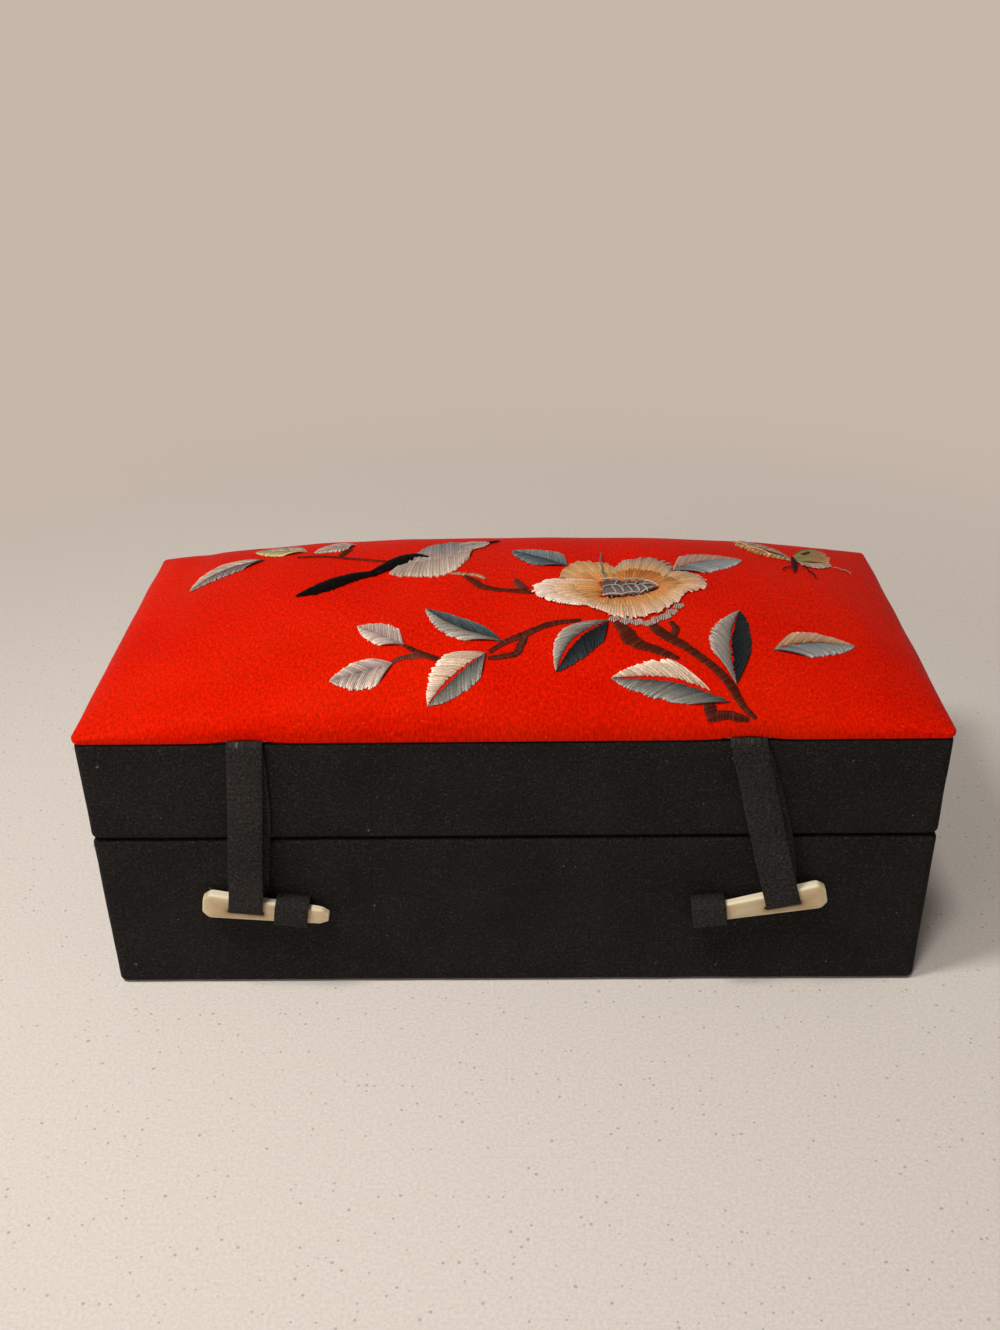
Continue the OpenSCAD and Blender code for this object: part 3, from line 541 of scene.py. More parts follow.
def silk_top(name):
    x, y = pillow_grid(box_w, box_d, corner_r, 300, 170)
    z = silk_level(x, y)
    side = np.minimum(box_w / 2 - np.abs(x), 60)
    near = np.minimum(box_w / 2 - np.abs(x), box_d / 2 - np.abs(y))
    z = z + over_ribbons(x, y)
    z = z + 0.12 * ripple(x, y, 34.0, 5) * np.minimum(1, near / 8)
    z = z + 0.13 * ripple(x, y * 0.35, 19.0, 29) * np.minimum(1, near / 9)
    folds = ripple(x, y * 0.15, 9.0, 11) * np.exp(-((side - 9) / 9) ** 2)
    z = z + 0.16 * folds * np.minimum(1, near / 4)
    tight = ripple(x, y, 7.0, 17) * np.exp(-near / 5) * np.minimum(1, near / 1.2)
    z = z + 0.09 * tight
    bulge = 0.25 + 0.15 * ripple(x, y, 26.0, 23)
    z = z - 0.5 * np.exp(-((side - 13) / 5.0) ** 2) * (x < 0) * swell(2 * y / box_d, (4, 0.5))
    x = x + np.sign(x) * bulge * np.exp(-((box_w / 2 - np.abs(x)) / 2.0))
    base = lid_top

    def to(height):
        return lambda a, b, c: base + height + float(over_ribbons(a, b))

    skirt = [(1.0, 1.0, to(1.0)), (1.0, 1.0, to(0.6)), (0.999, 0.998, to(0.25)), (0.996, 0.992, to(0.05)),
             (0.985, 0.97, lambda a, b, c: base + 0.03 + 0.8 * float(over_ribbons(a, b))),
             (0.93, 0.86, lambda a, b, c: base + 0.03), (0.91, 0.81, lambda a, b, c: base + 0.3)]
    return pillow(name, x, y, z, skirt, base + 0.3)


red_silk = satin_finish("red satin", red, (1.0, 0.10, 0.015), 3.6)
silk = silk_top("silk_top")
silk.data.materials.append(red_silk)
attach(silk, "lid")
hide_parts("lid_silk_panel")

wadding_finish, tree, shader = finish_named("cotton wadding", roughness=1.0)
place = put(tree, "ShaderNodeTexCoord").outputs["Object"]
tufts = put(tree, "ShaderNodeTexNoise", None, {"Vector": place, "Scale": 300.0, "Detail": 5.0}).outputs["Fac"]
tree.links.new(tint(tree, (0.78, 0.75, 0.68), level(tree, tufts, 0.3, 0.7, 0.85, 1.05)), shader.inputs["Base Color"])
x, y = pillow_grid(box_w - 8, box_d - 4, 4.0, 90, 50)
z = silk_level(x, y) - 1.9
wadding = pillow("wadding_fill", x, y, np.maximum(z, lid_top + 1.3), [(1.0, 1.0, lambda a, b, c: lid_top + 1.05)],
                 lid_top + 1.05)
wadding.data.materials.append(wadding_finish)
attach(wadding, "lid")
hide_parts("lid_wadding")

# Embroidery. A branch with a flower, leaves, a bird and a butterfly, in satin stitch of floss silk:
# each leaf has two halves of slanting stitches with bare silk between them for its midrib.
cream = (0.72, 0.50, 0.36)
silver = (0.46, 0.37, 0.31)
lilac = (0.40, 0.30, 0.27)
slate = (0.22, 0.20, 0.18)
teal = (0.075, 0.115, 0.115)
navy = (0.018, 0.026, 0.032)
tan = (0.50, 0.27, 0.13)
peach = (0.62, 0.35, 0.15)
orange = (0.59, 0.22, 0.055)
umber = (0.10, 0.014, 0.006)
ink = (0.003, 0.002, 0.002)
olive = (0.30, 0.24, 0.09)
rose = (0.50, 0.25, 0.19)


def smooth(points, n):
    """n points evenly along a soft curve through a few."""
    p = np.array(points, float)
    if len(p) < 3:
        return np.linspace(p[0], p[-1], n)
    q = np.vstack([2 * p[0] - p[1], p, 2 * p[-1] - p[-2]])
    fine = []
    for i in range(len(p) - 1):
        a, b, c, d = q[i:i + 4]
        for t in np.linspace(0, 1, 16, endpoint=False):
            fine.append(0.5 * (2 * b + (c - a) * t + (2 * a - 5 * b + 4 * c - d) * t * t
                               + (3 * b - a - 3 * c + d) * t ** 3))
    fine = np.array(fine + [p[-1]])
    run = np.concatenate([[0], np.cumsum(np.linalg.norm(np.diff(fine[:, :2], axis=0), axis=1))])
    want = np.linspace(0, run[-1], n)
    return np.column_stack([np.interp(want, run, fine[:, k]) for k in range(fine.shape[1])])


def band(inner, outer, a, b, tone, far_tone=None, lift=0.0, n=28, slant=0.0):
    """Stitches from share a to share b of the way between two edges: (root, reach, colours, lift) for each."""
    root_edge, far_edge = smooth(inner, n), smooth(outer, n)
    if slant:
        share = np.linspace(0, 1, n)
        ahead_at = np.minimum(1, share + slant * (1 - share))
        far_edge = np.column_stack([np.interp(ahead_at, share, far_edge[:, k]) for k in range(2)])
    span = far_edge - root_edge
    return [(root_edge[i] + span[i] * a, span[i] * (b - a), tone, far_tone or tone, lift) for i in range(n)]


def leaf(stalk, tip, left, right, bow, gap, left_tones, right_tones, slant=0.36, belly=0.45, lift=0.0, later=(0, 0)):
    """The two stitched halves of a leaf, with its widths to the left and right of a bowed midrib. The tones of
    a half are its colours at the midrib and at the edge; each half may start later along the midrib."""
    s, e = np.array(stalk, float), np.array(tip, float)
    across = np.array([-(e - s)[1], (e - s)[0]]) / np.linalg.norm(e - s)
    power = math.log(0.5) / math.log(belly)
    bands = []
    for width, sign, tones, first in ((left, 1, left_tones, later[0]), (right, -1, right_tones, later[1])):
        share = np.linspace(first, 1, 34)
        arch = np.sin(math.pi * share)
        mid = s + np.outer(share, e - s) + np.outer(arch, across) * bow
        slit = np.outer(np.maximum(0, arch) ** 0.5, across) * gap / 2
        full = np.maximum(0, np.sin(math.pi * share ** power)) ** 0.75
        edge = mid + sign * np.outer(full, across) * width
        bands.append(band(mid + sign * slit, edge, 0, 1, tones[0], tones[1], lift, 34, slant))
    return bands


def twig(points, tone, lift=-0.05):
    """A stem stitched straight across. A point is (x, y, width)."""
    p = smooth(points, 30)
    way = np.gradient(p[:, :2], axis=0)
    side = np.column_stack([-way[:, 1], way[:, 0]]) / np.linalg.norm(way, axis=1)[:, None]
    a = p[:, :2] + side * p[:, 2:] / 2 + way * 0.2
    b = p[:, :2] - side * p[:, 2:] / 2 - way * 0.2
    return [band(a, b, 0, 1, tone, None, lift, 30)]


def single(points, tone, lift=0.5):
    """Long straight stitches laid one after another along a line."""
    return [band([points[i], np.array(points[i]) + (0.05, 0.02)], [points[i + 1], np.array(points[i + 1]) + (0.05, 0.02)],
                 0, 1, tone, None, lift, 2) for i in range(len(points) - 1)]


def stitch_tree():
    """Threads from a line of roots: spaced along it, laid on the silk, and arched over their padding."""
    tree = bpy.data.node_groups.new("satin stitch", "GeometryNodeTree")
    for label, kind, value in (("Roots", "NodeSocketGeometry", None), ("Silk", "NodeSocketObject", None),
                               ("Spacing", "NodeSocketFloat", 0.00028), ("Thread radius", "NodeSocketFloat", 0.00019),
                               ("Arch", "NodeSocketFloat", 0.0005), ("Unevenness", "NodeSocketFloat", 0.08),
                               ("Threads in a bundle", "NodeSocketFloat", 2.6), ("Points in a stitch", "NodeSocketInt", 7), ("Seed", "NodeSocketInt", 4),
                               ("Material", "NodeSocketMaterial", None)):
        socket = tree.interface.new_socket(label, in_out="INPUT", socket_type=kind)
        if value is not None:
            socket.default_value = value
    tree.interface.new_socket("Threads", in_out="OUTPUT", socket_type="NodeSocketGeometry")
    given = tree.nodes.new("NodeGroupInput").outputs
    ground = put(tree, "GeometryNodeObjectInfo", None, {"Object": given["Silk"]}).outputs["Geometry"]

    def read(name, kind="FLOAT_VECTOR"):
        return put(tree, "GeometryNodeInputNamedAttribute", {"data_type": kind}, {"Name": name}).outputs["Attribute"]

    def keep(geometry, name, kind, value):
        return put(tree, "GeometryNodeStoreNamedAttribute", {"data_type": kind, "domain": "POINT"},
                   {"Geometry": geometry, "Name": name, "Value": value}).outputs[0]

    def chance(low, high, more, of=None):
        """A random number for each thread, or the same one for each member of a bundle."""
        node = put(tree, "FunctionNodeRandomValue", {"data_type": "FLOAT"},
                   {2: low, 3: high, "Seed": calc(tree, "ADD", given["Seed"], more)})
        if of is not None:
            tree.links.new(of, node.inputs["ID"])
        return node.outputs[1]

    def vector(operation, a, b, scale=None):
        node = put(tree, "ShaderNodeVectorMath", {"operation": operation}, {0: a})
        if b is not None:
            (tree.links.new(b, node.inputs[1]) if isinstance(b, bpy.types.NodeSocket)
             else setattr(node.inputs[1], "default_value", b))
        if scale is not None:
            (tree.links.new(scale, node.inputs["Scale"]) if isinstance(scale, bpy.types.NodeSocket)
             else setattr(node.inputs["Scale"], "default_value", scale))
        return node.outputs[0]

    def laid(source):
        """The point of the silk under a place, and the way up from it."""
        high = vector("ADD", vector("MULTIPLY", source, (1, 1, 0)), (0, 0, 0.2))
        return put(tree, "GeometryNodeRaycast", None,
                   {"Target Geometry": ground, "Source Position": high, "Ray Direction": (0, 0, -1), "Ray Length": 1.0})

    line = put(tree, "GeometryNodeMeshToCurve", None, {"Mesh": given["Roots"]}).outputs[0]
    line = put(tree, "GeometryNodeSetPosition", None,
               {"Geometry": line, "Position": laid(put(tree, "GeometryNodeInputPosition").outputs[0]).outputs["Hit Position"]})
    line = put(tree, "GeometryNodeResampleCurve", {"mode": "LENGTH"}, {"Curve": line.outputs[0], "Length": given["Spacing"]})
    line = keep(line.outputs[0], "root", "FLOAT_VECTOR", put(tree, "GeometryNodeInputPosition").outputs[0])
    loose = given["Unevenness"]
    index = put(tree, "GeometryNodeInputIndex").outputs[0]
    bundle = calc(tree, "FLOOR", calc(tree, "DIVIDE", index, given["Threads in a bundle"]))
    start = calc(tree, "ADD", chance(-1.0, 1.0, 0, bundle), chance(-0.4, 0.4, 1))
    line = keep(line, "begin", "FLOAT", calc(tree, "MULTIPLY", start, calc(tree, "MULTIPLY", loose, 0.7)))
    stop = calc(tree, "ADD", chance(-1.0, 0.7, 2, bundle), chance(-0.3, 0.3, 3))
    line = keep(line, "until", "FLOAT", calc(tree, "ADD", 1.0, calc(tree, "MULTIPLY", stop, loose)))
    line = keep(line, "tone", "FLOAT", calc(tree, "ADD", chance(-0.6, 0.6, 4, bundle), chance(-0.4, 0.4, 5)))
    # Painted shade: the first threads of each bundle are marked, to be darkened in their finish as if lying in a groove
    # between bundles.
    in_bundle = calc(tree, "FRACT", calc(tree, "DIVIDE", index, given["Threads in a bundle"]))
    line = keep(line, "groove", "FLOAT", calc(tree, "LESS_THAN", in_bundle, 0.36))
    bar = put(tree, "GeometryNodeCurvePrimitiveLine", None, {"Start": (0, 0, 0), "End": (0.001, 0, 0)}).outputs[0]
    bar = put(tree, "GeometryNodeResampleCurve", {"mode": "COUNT"},
              {"Curve": bar, "Count": given["Points in a stitch"]}).outputs[0]
    bar = keep(bar, "share", "FLOAT", put(tree, "GeometryNodeSplineParameter").outputs["Factor"])
    many = put(tree, "GeometryNodeInstanceOnPoints", None, {"Points": line, "Instance": bar}).outputs[0]
    many = put(tree, "GeometryNodeRealizeInstances", None, {"Geometry": many}).outputs[0]
    share = read("share", "FLOAT")
    begin, until = read("begin", "FLOAT"), read("until", "FLOAT")
    along = calc(tree, "ADD", begin, calc(tree, "MULTIPLY", share, calc(tree, "SUBTRACT", until, begin)))
    at = vector("ADD", read("root"), vector("SCALE", read("reach"), None, along))
    hit = laid(at)
    bend = calc(tree, "MULTIPLY", calc(tree, "MULTIPLY", share, 4.0), calc(tree, "SUBTRACT", 1.0, share))
    bend = calc(tree, "POWER", bend, 0.6)
    size = put(tree, "ShaderNodeVectorMath", {"operation": "LENGTH"}, {0: read("reach")}).outputs["Value"]
    arch = calc(tree, "MULTIPLY", given["Arch"], level(tree, size, 0.0, 0.0045, 0.25, 1.0))
    height = calc(tree, "ADD", calc(tree, "MULTIPLY", arch, bend), read("lift", "FLOAT"))
    up_at = vector("ADD", hit.outputs["Hit Position"], vector("SCALE", hit.outputs["Hit Normal"], None, height))
    threads = put(tree, "GeometryNodeSetPosition", None, {"Geometry": many, "Position": up_at}).outputs[0]
    thick = calc(tree, "MULTIPLY", given["Thread radius"], level(tree, read("tone", "FLOAT"), -1.0, 1.0, 0.85, 1.15))
    ring = put(tree, "GeometryNodeCurvePrimitiveCircle", {"mode": "RADIUS"}, {"Resolution": 5, "Radius": 1.0}).outputs[0]
    tube = put(tree, "GeometryNodeCurveToMesh", None,
               {"Curve": threads, "Profile Curve": ring, "Scale": thick, "Fill Caps": True}).outputs[0]
    tube = put(tree, "GeometryNodeSetShadeSmooth", None, {"Geometry": tube}).outputs[0]
    tube = put(tree, "GeometryNodeRealizeInstances", None, {"Geometry": tube}).outputs[0]
    tube = put(tree, "GeometryNodeSetMaterial", None, {"Geometry": tube, "Material": given["Material"]}).outputs[0]
    out = tree.nodes.new("NodeGroupOutput")
    tree.links.new(tube, out.inputs[0])
    return tree


satin_stitch = stitch_tree()


def thread_finish(name, contrast):
    """Floss silk: the colour of each stitch, a little lighter at its far end as a painted highlight, darker threads at
    the start of each bundle as painted shade, and a soft gloss.
    """
    material, tree, shader = finish_named(name, roughness=0.4)
    shader.inputs["Specular IOR Level"].default_value = 0.1
    near = put(tree, "ShaderNodeAttribute", {"attribute_name": "near"}).outputs["Color"]
    far = put(tree, "ShaderNodeAttribute", {"attribute_name": "far"}).outputs["Color"]
    share = put(tree, "ShaderNodeAttribute", {"attribute_name": "share"}).outputs["Fac"]
    tone = put(tree, "ShaderNodeAttribute", {"attribute_name": "tone"}).outputs["Fac"]
    colour = put(tree, "ShaderNodeMix", {"data_type": "RGBA"},
                 {0: level(tree, share, 0.1, 0.95, 0.0, 1.0), 6: near, 7: far}).outputs[2]
    place = put(tree, "ShaderNodeTexCoord").outputs["Object"]
    ply = put(tree, "ShaderNodeTexNoise", None, {"Vector": place, "Scale": 2200.0, "Detail": 2.0}).outputs["Fac"]
    groove = put(tree, "ShaderNodeAttribute", {"attribute_name": "groove"}).outputs["Fac"]
    shade = calc(tree, "MULTIPLY", level(tree, tone, -1.0, 1.0, 1 - 0.4 * contrast, 1 + 0.4 * contrast),
                 level(tree, ply, 0.3, 0.7, 0.8, 1.2))
    # Painted shade: the marked threads at the start of each bundle are darker, and the others a little lighter.
    shade = calc(tree, "MULTIPLY", shade, level(tree, groove, 0.0, 1.0, 1.08, 1 - 0.45 * contrast))
    # Painted highlight: the last part of each stitch is lightened.
    shade = calc(tree, "MULTIPLY", shade, level(tree, share, 0.8, 0.98, 1.0, 1 + 0.5 * contrast))
    tree.links.new(tint(tree, colour, shade), shader.inputs["Base Color"])
    bump = put(tree, "ShaderNodeBump", None, {"Strength": 0.4, "Distance": 0.00005, "Height": ply})
    tree.links.new(bump.outputs[0], shader.inputs["Normal"])
    return material


def embroider(name, node, slot, bands, seed, contrast=1.0, **sizes):
    """One colour group of stitched bands, made by the stitch tree over the silk."""
    rows = [row for one in bands for row in one]
    mesh = bpy.data.meshes.new(name)
    edges, start = [], 0
    for one in bands:
        edges += [(start + i, start + i + 1) for i in range(len(one) - 1)]
        start += len(one)
    mesh.from_pydata([(r[0][0] * 0.001, r[0][1] * 0.001, 0) for r in rows], edges, [])
    for label, kind, values in (("reach", "FLOAT_VECTOR", [(r[1][0] * 0.001, r[1][1] * 0.001, 0) for r in rows]),
                                ("near", "FLOAT_COLOR", [(*r[2], 1) for r in rows]),
                                ("far", "FLOAT_COLOR", [(*r[3], 1) for r in rows]),
                                ("lift", "FLOAT", [(0.12 + r[4]) * 0.001 for r in rows])):
        layer = mesh.attributes.new(label, kind, "POINT")
        key = {"FLOAT_VECTOR": "vector", "FLOAT_COLOR": "color", "FLOAT": "value"}[kind]
        layer.data.foreach_set(key, np.array(values, np.float32).ravel())
    rails = bpy.data.objects.new(name + "_rails", mesh)
    bpy.context.scene.collection.objects.link(rails)
    modifier = rails.modifiers.new("stitches", "NODES")
    modifier.node_group = satin_stitch
    given = {"Silk": silk, "Seed": seed, "Material": thread_finish(name.replace("_", " "), contrast), **sizes}
    for item in satin_stitch.interface.items_tree:
        if item.in_out == "INPUT" and item.name in given:
            modifier[item.identifier] = given[item.name]
    result = bpy.data.meshes.new_from_object(rails.evaluated_get(bpy.context.evaluated_depsgraph_get()))
    result.name = name
    bpy.data.objects.remove(rails)
    piece = bpy.data.objects.new(name, result)
    bpy.context.scene.collection.objects.link(piece)
    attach(piece, "lid")
    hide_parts(node)
    return piece


pale = (cream, (0.85, 0.66, 0.50))
grey = (slate, (0.42, 0.36, 0.31))
dim = ((0.08, 0.088, 0.082), (0.29, 0.275, 0.245))
dark = ((0.010, 0.013, 0.016), (0.026, 0.032, 0.036))
murky = ((0.035, 0.048, 0.055), (0.13, 0.16, 0.165))
plum = ((0.09, 0.072, 0.072), (0.28, 0.22, 0.21))
blue_grey = ((0.16, 0.19, 0.20), (0.34, 0.34, 0.33))
mauve = (lilac, (0.66, 0.52, 0.44))
leaves = [
    *leaf((-25.3, -27.9), (-36.5, -20.4), 3.2, 4.1, 0, 0.1, mauve, mauve),
    *leaf((-27.4, -34.1), (-41.4, -38.5), 4.8, 3.4, 0, 0.1, mauve, mauve),
    *leaf((-2.2, -27.2), (-20.6, -14.1), 3.8, 3.4, 1.8, 0.4, grey, murky),
    *leaf((-6, -31.6), (-18.7, -44.6), 4.8, 5.8, -0.5, 1.0, dim, pale, belly=0.42),
    *leaf((23.1, -19.6), (10.4, -37), 5.4, 4.2, -2.1, 1.3, dark, grey),
    *leaf((49.5, -44), (22.9, -38.7), 4.9, 5.4, -2.2, 1.3, dim, pale, belly=0.52, later=(0, 0.2)),
    *leaf((51.2, -39.4), (55.3, -12.8), 4.8, 4.6, 1.7, 0.8, grey, dark, belly=0.5),
    *leaf((61.5, -27.8), (81.7, -21.9), 4.1, 5.2, 1.7, 0.5, (tan, cream), blue_grey),
    *leaf((14.2, 8), (0.3, 19.7), 4.8, 5.6, -0.3, 0.3, murky, blue_grey),
    *leaf((41.2, 7), (60.2, 17.7), 5.0, 6.4, 2.5, 0.3, (rose, silver), blue_grey),
    *leaf((-66.6, 23.6), (-84, 11.4), 4.4, 4.6, -3.0, 0.3, plum, (silver, cream)),
    *leaf((-55.5, 27.5), (-70.3, 33), 4.2, 4.5, 0, 0.2, (olive, (0.5, 0.42, 0.2)), (silver, olive)),
    *leaf((-42.6, 31), (-52.8, 24.6), 3.4, 3.6, 0, 0.2, (rose, silver), mauve),
]
embroider("stitched_leaves", "embroidered_leaves", "grey_thread", leaves, 4, contrast=0.9, **{"Threads in a bundle": 2.0})

petal_left = ([(21.6, -1.8), (22.4, -5.5), (21.8, -10.2)],
              [(20, -1), (12.6, -0.9), (8.2, -1.4), (5.4, -5), (6.6, -9), (12.6, -12.9), (18.4, -13.4), (20.6, -12.6)])
petal_up_left = ([(17, -1.2), (22, -1.0), (26.6, -0.4)],
                 [(12.2, 0.5), (13.2, 5.9), (16.2, 10.2), (20.2, 10.6), (24, 10.2), (26.6, 7.4)])
petal_up_right = ([(26.4, -0.6), (31, -0.8), (36, -1.2)],
                  [(26.2, 7.6), (29.6, 12.8), (34.2, 14.2), (38.8, 12.6), (41.2, 8), (39.6, 3.4)])
petal_right = ([(36.4, 0.4), (36.8, -2.4), (36, -5.2)],
               [(38.4, 3.6), (42, 5.9), (46.4, 5), (49, 1.4), (48.4, -2), (45.4, -4.8), (42.4, -6.2)])
petal_front = ([(20, -9.8), (25, -9.6), (31, -8.4), (36.4, -5.6), (38.8, -3.8)],
               [(17.6, -13.2), (21.4, -16), (25.4, -18.2), (30.6, -18.2), (36, -15.4), (40, -11.4), (42.8, -6.6)])
flower = [
    band(*petal_up_left, 0.0, 0.55, orange, peach, 0.0), band(*petal_up_left, 0.42, 1.0, peach, tan, 0.12, 40),
    band(*petal_up_right, 0.0, 0.6, orange, orange, 0.0), band(*petal_up_right, 0.45, 1.0, peach, silver, 0.12, 40),
    band(*petal_right, 0.0, 0.5, orange, peach, 0.05), band(*petal_right, 0.4, 1.0, peach, cream, 0.16, 40),
    band(*petal_left, 0.0, 0.45, orange, peach, 0.1), band(*petal_left, 0.36, 0.75, peach, cream, 0.2, 40),
    band(*petal_left, 0.66, 1.0, cream, (0.8, 0.66, 0.55), 0.26, 40),
    band(*petal_front, 0.0, 0.5, orange, peach, 0.2), band(*petal_front, 0.4, 1.0, peach, cream, 0.34, 40),
    band([(22.6, -1.6), (28, -1.2), (33, -1.4), (35.8, -3.6)], [(22.6, -9.2), (27, -8.6), (32, -7.4), (35.9, -4.2)],
         0, 1, (0.10, 0.095, 0.095), (0.20, 0.17, 0.165), 0.42),
    *single([(22.8, -5.6), (27, -4.9), (31.4, -4.3), (35.2, -4)], silver, 1.05),
    *single([(22.6, -1.4), (28, -1.0), (33, -1.2), (36, -3.8)], silver, 0.8),
    *single([(22.5, -9.4), (27, -8.8), (32, -7.6), (36, -4.2)], silver, 0.8),
    *[one for x in (24.5, 26.5, 28.5, 30.5, 32.4) for one in single([(x, -5.2 + (x - 23) * 0.1), (x + 1.1, -8.2 + (x - 23) * 0.12)],
                                                                    silver, 1.0)],
    *[one for x in (25.5, 28.0, 30.5, 32.6) for one in single([(x, -5.0 + (x - 23) * 0.1), (x + 1.0, -2.0 - (x - 23) * 0.03)],
                                                              silver, 1.0)],
    *single([(24, -1.2), (22.9, 3.8), (22.7, 9.3), (23.3, 16)], slate, 0.75),
]
for x, y, size in ((24.6, -19.2, 1.5), (27.4, -20.0, 1.8), (30.0, -20.4, 1.7), (32.6, -20.8, 2.0), (34.6, -19.2, 1.5),
                   (36.8, -18.0, 1.7), (38.6, -15.8, 1.7), (40.6, -13.2, 1.5)):
    flower.append(band([(x - size / 2, y + 1.2), (x + size / 2, y + 1.6)],
                       [(x - size * 0.8, y - 0.2), (x, y - 1.0), (x + size * 0.8, y + 0.2)], 0, 1, lilac, silver, 0.1, 12))
embroider("stitched_flower", "embroidered_flower", "peach_thread", flower, 9, contrast=0.42,
          **{"Threads in a bundle": 1.8, "Unevenness": 0.13})

branches = [
    *twig([(33, -20.2, 1.6), (34.2, -22, 2.8), (36.5, -25.2, 3.0), (40, -28.3, 2.6), (43.4, -31.7, 2.2), (46.7, -35.4, 2.2),
           (49.6, -39.6, 2.2), (50.9, -42.6, 2.0), (52.4, -45.4, 1.4), (54.6, -47.0, 0.5)], umber),
    *twig([(25.2, -20.4, 2.2), (27, -23.2, 3.4), (28.2, -27, 3.8), (31.9, -29.4, 2.8), (35.4, -31.2, 2.4),
           (38.4, -32.9, 1.0)], umber),
    *twig([(38.2, -19.6, 1.2), (38.9, -22.2, 1.8), (38.0, -25.0, 2.0)], umber),
    *twig([(44.4, -44.3, 2.6), (44.7, -45.6, 2.8), (45.0, -46.8, 2.0)], umber),
    *twig([(44.6, -46.6, 1.2), (47.8, -46.4, 1.4), (50.4, -46.7, 1.2), (53.0, -47.2, 0.6)], umber),
    *twig([(16.4, -19.7, 1.2), (10.3, -20.8, 1.8), (6.4, -22.6, 1.9), (2.6, -25.1, 2.0), (-1.1, -27.4, 1.6),
           (-4.9, -31.0, 1.0)], umber),
    *twig([(3.3, -25.1, 1.6), (2.2, -29.0, 1.8), (1.0, -31.6, 1.6), (-2.4, -32.6, 1.5), (-5.2, -33.2, 0.9)], umber),
    *twig([(-25.0, -28.2, 0.9), (-22.3, -30.2, 1.3), (-19.1, -32.0, 1.5), (-16.3, -33.4, 1.2)], umber),
    *twig([(-27.4, -33.6, 0.9), (-25.3, -32.4, 1.3), (-21.6, -31.7, 1.5), (-19.3, -32.0, 1.3)], (0.13, 0.035, 0.02)),
    *twig([(-56.8, 22.4, 0.7), (-49.4, 20.7, 0.8), (-43.4, 18.2, 0.8), (-38.7, 16.5, 0.8), (-32.4, 14.0, 0.6)], umber),
    *twig([(-43.5, 26.5, 1.6), (-44.6, 22.5, 1.6), (-45.4, 19.4, 1.0)], umber),
    *twig([(-15.2, 4.3, 0.8), (-12.1, 3.7, 1.2), (-8.6, 2.9, 1.1), (-6.5, 0.9, 0.7)], (0.42, 0.25, 0.15)),
    *twig([(-11.8, 2.4, 1.0), (-9.3, -0.4, 2.2), (-7.2, -3.2, 2.2), (-2.6, -5.0, 1.4), (3.0, -5.9, 1.8), (5.4, -6.9, 1.2)], umber),
    *twig([(1.0, 0.6, 0.7), (1.9, -2.0, 2.4), (3.2, -4.8, 2.6)], (0.15, 0.03, 0.02)),
]
embroider("stitched_branches", "embroidered_branches", "brown_thread", branches, 14, **{"Arch": 0.0004})

bird = [
    *twig([(-53.4, -3.7, 0.8), (-49, -1.4, 4.6), (-44, 2.2, 5.6), (-39.5, 5.0, 4.2), (-34.6, 6.4, 2.6)], ink, 0.1),
    *twig([(-35, 6.2, 2.4), (-31.6, 10, 3.8), (-28, 13.4, 5.4), (-25.4, 15.2, 3.6), (-21.5, 14.1, 0.7)], ink, 0.45),
    band([(-24.6, 17), (-23, 22), (-19.7, 26.4), (-15.1, 28.4), (-9.5, 28)],
         [(-31.2, 5.2), (-26.8, 3.6), (-19.4, 2.2), (-14.6, 6), (-11.2, 13.5)], 0.5, 1.0, lilac, (0.58, 0.46, 0.37), 0.0, 40),
    band([(-24.6, 17), (-23, 22), (-19.7, 26.4), (-15.1, 28.4), (-9.5, 28)],
         [(-31.2, 5.2), (-26.8, 3.6), (-19.4, 2.2), (-14.6, 6), (-11.2, 13.5)], 0.0, 0.58, (0.21, 0.22, 0.225), lilac, 0.14, 40),
    *leaf((-14, 22), (-6, 27.6), 3.2, 3.0, 0, 0, mauve, grey, lift=0.2),
    *twig([(-6.6, 27.4, 1.2), (-4.6, 28.6, 0.7), (-3.2, 29.2, 0.3)], ink, 0.2),
]
embroider("stitched_bird", "embroidered_bird", "mauve_thread", bird, 19, contrast=0.45)

butterfly = [
    band([(74.6, 22.6), (70, 23.4), (65, 26.4), (61, 32)], [(74.8, 23.4), (72.6, 29), (68, 34.4), (63.4, 37.6)],
         0, 1, tan, silver, 0.1),
    *twig([(72.4, 24.6, 0.8), (68.6, 26.8, 1.3), (65.2, 29.6, 1.2)], (0.08, 0.035, 0.02), 0.5),
    band([(75.8, 22.8), (76.4, 27), (77.6, 31)], [(85.4, 25.4), (86.4, 32), (84.6, 38.4)], 0, 1, olive, tan, 0.1),
    band([(75.8, 22.4), (78.4, 22.6), (81, 23)], [(77, 20.4), (81.4, 20.6), (85.6, 24.4)], 0, 1, tan, silver, 0.15),
    *twig([(78.6, 28.4, 1.0), (80, 30.4, 1.6), (81, 32, 0.8)], (0.06, 0.04, 0.02), 0.5),
    *twig([(75.1, 24.4, 0.8), (74.8, 21, 1.6), (74.2, 17.4, 1.3), (73.6, 14, 0.6)], (0.05, 0.01, 0.02), 0.35),
    *single([(76.8, 19.9), (78.0, 16.2), (78.9, 11.8)], (0.12, 0.01, 0.01), 0.2),
    *single([(73.9, 17), (71.8, 16.2), (70.6, 14.4)], (0.12, 0.01, 0.01), 0.2),
    *single([(85.9, 23.6), (88.1, 23.4), (90.3, 22.6)], rose, 0.2),
    *single([(60.6, 34), (64, 29.4), (69, 24.6)], tan, 0.5),
]
embroider("stitched_butterfly", "embroidered_butterfly", "olive_thread", butterfly, 24)

# Outer hinge. A strip of the black cotton is glued to the back of both trays, across their rims,
# and creases a little where it bridges the joint between them.
seam_z = 44.65
hinge_w = 194.0
hinge_h = 36.0
hinge_t = 0.5


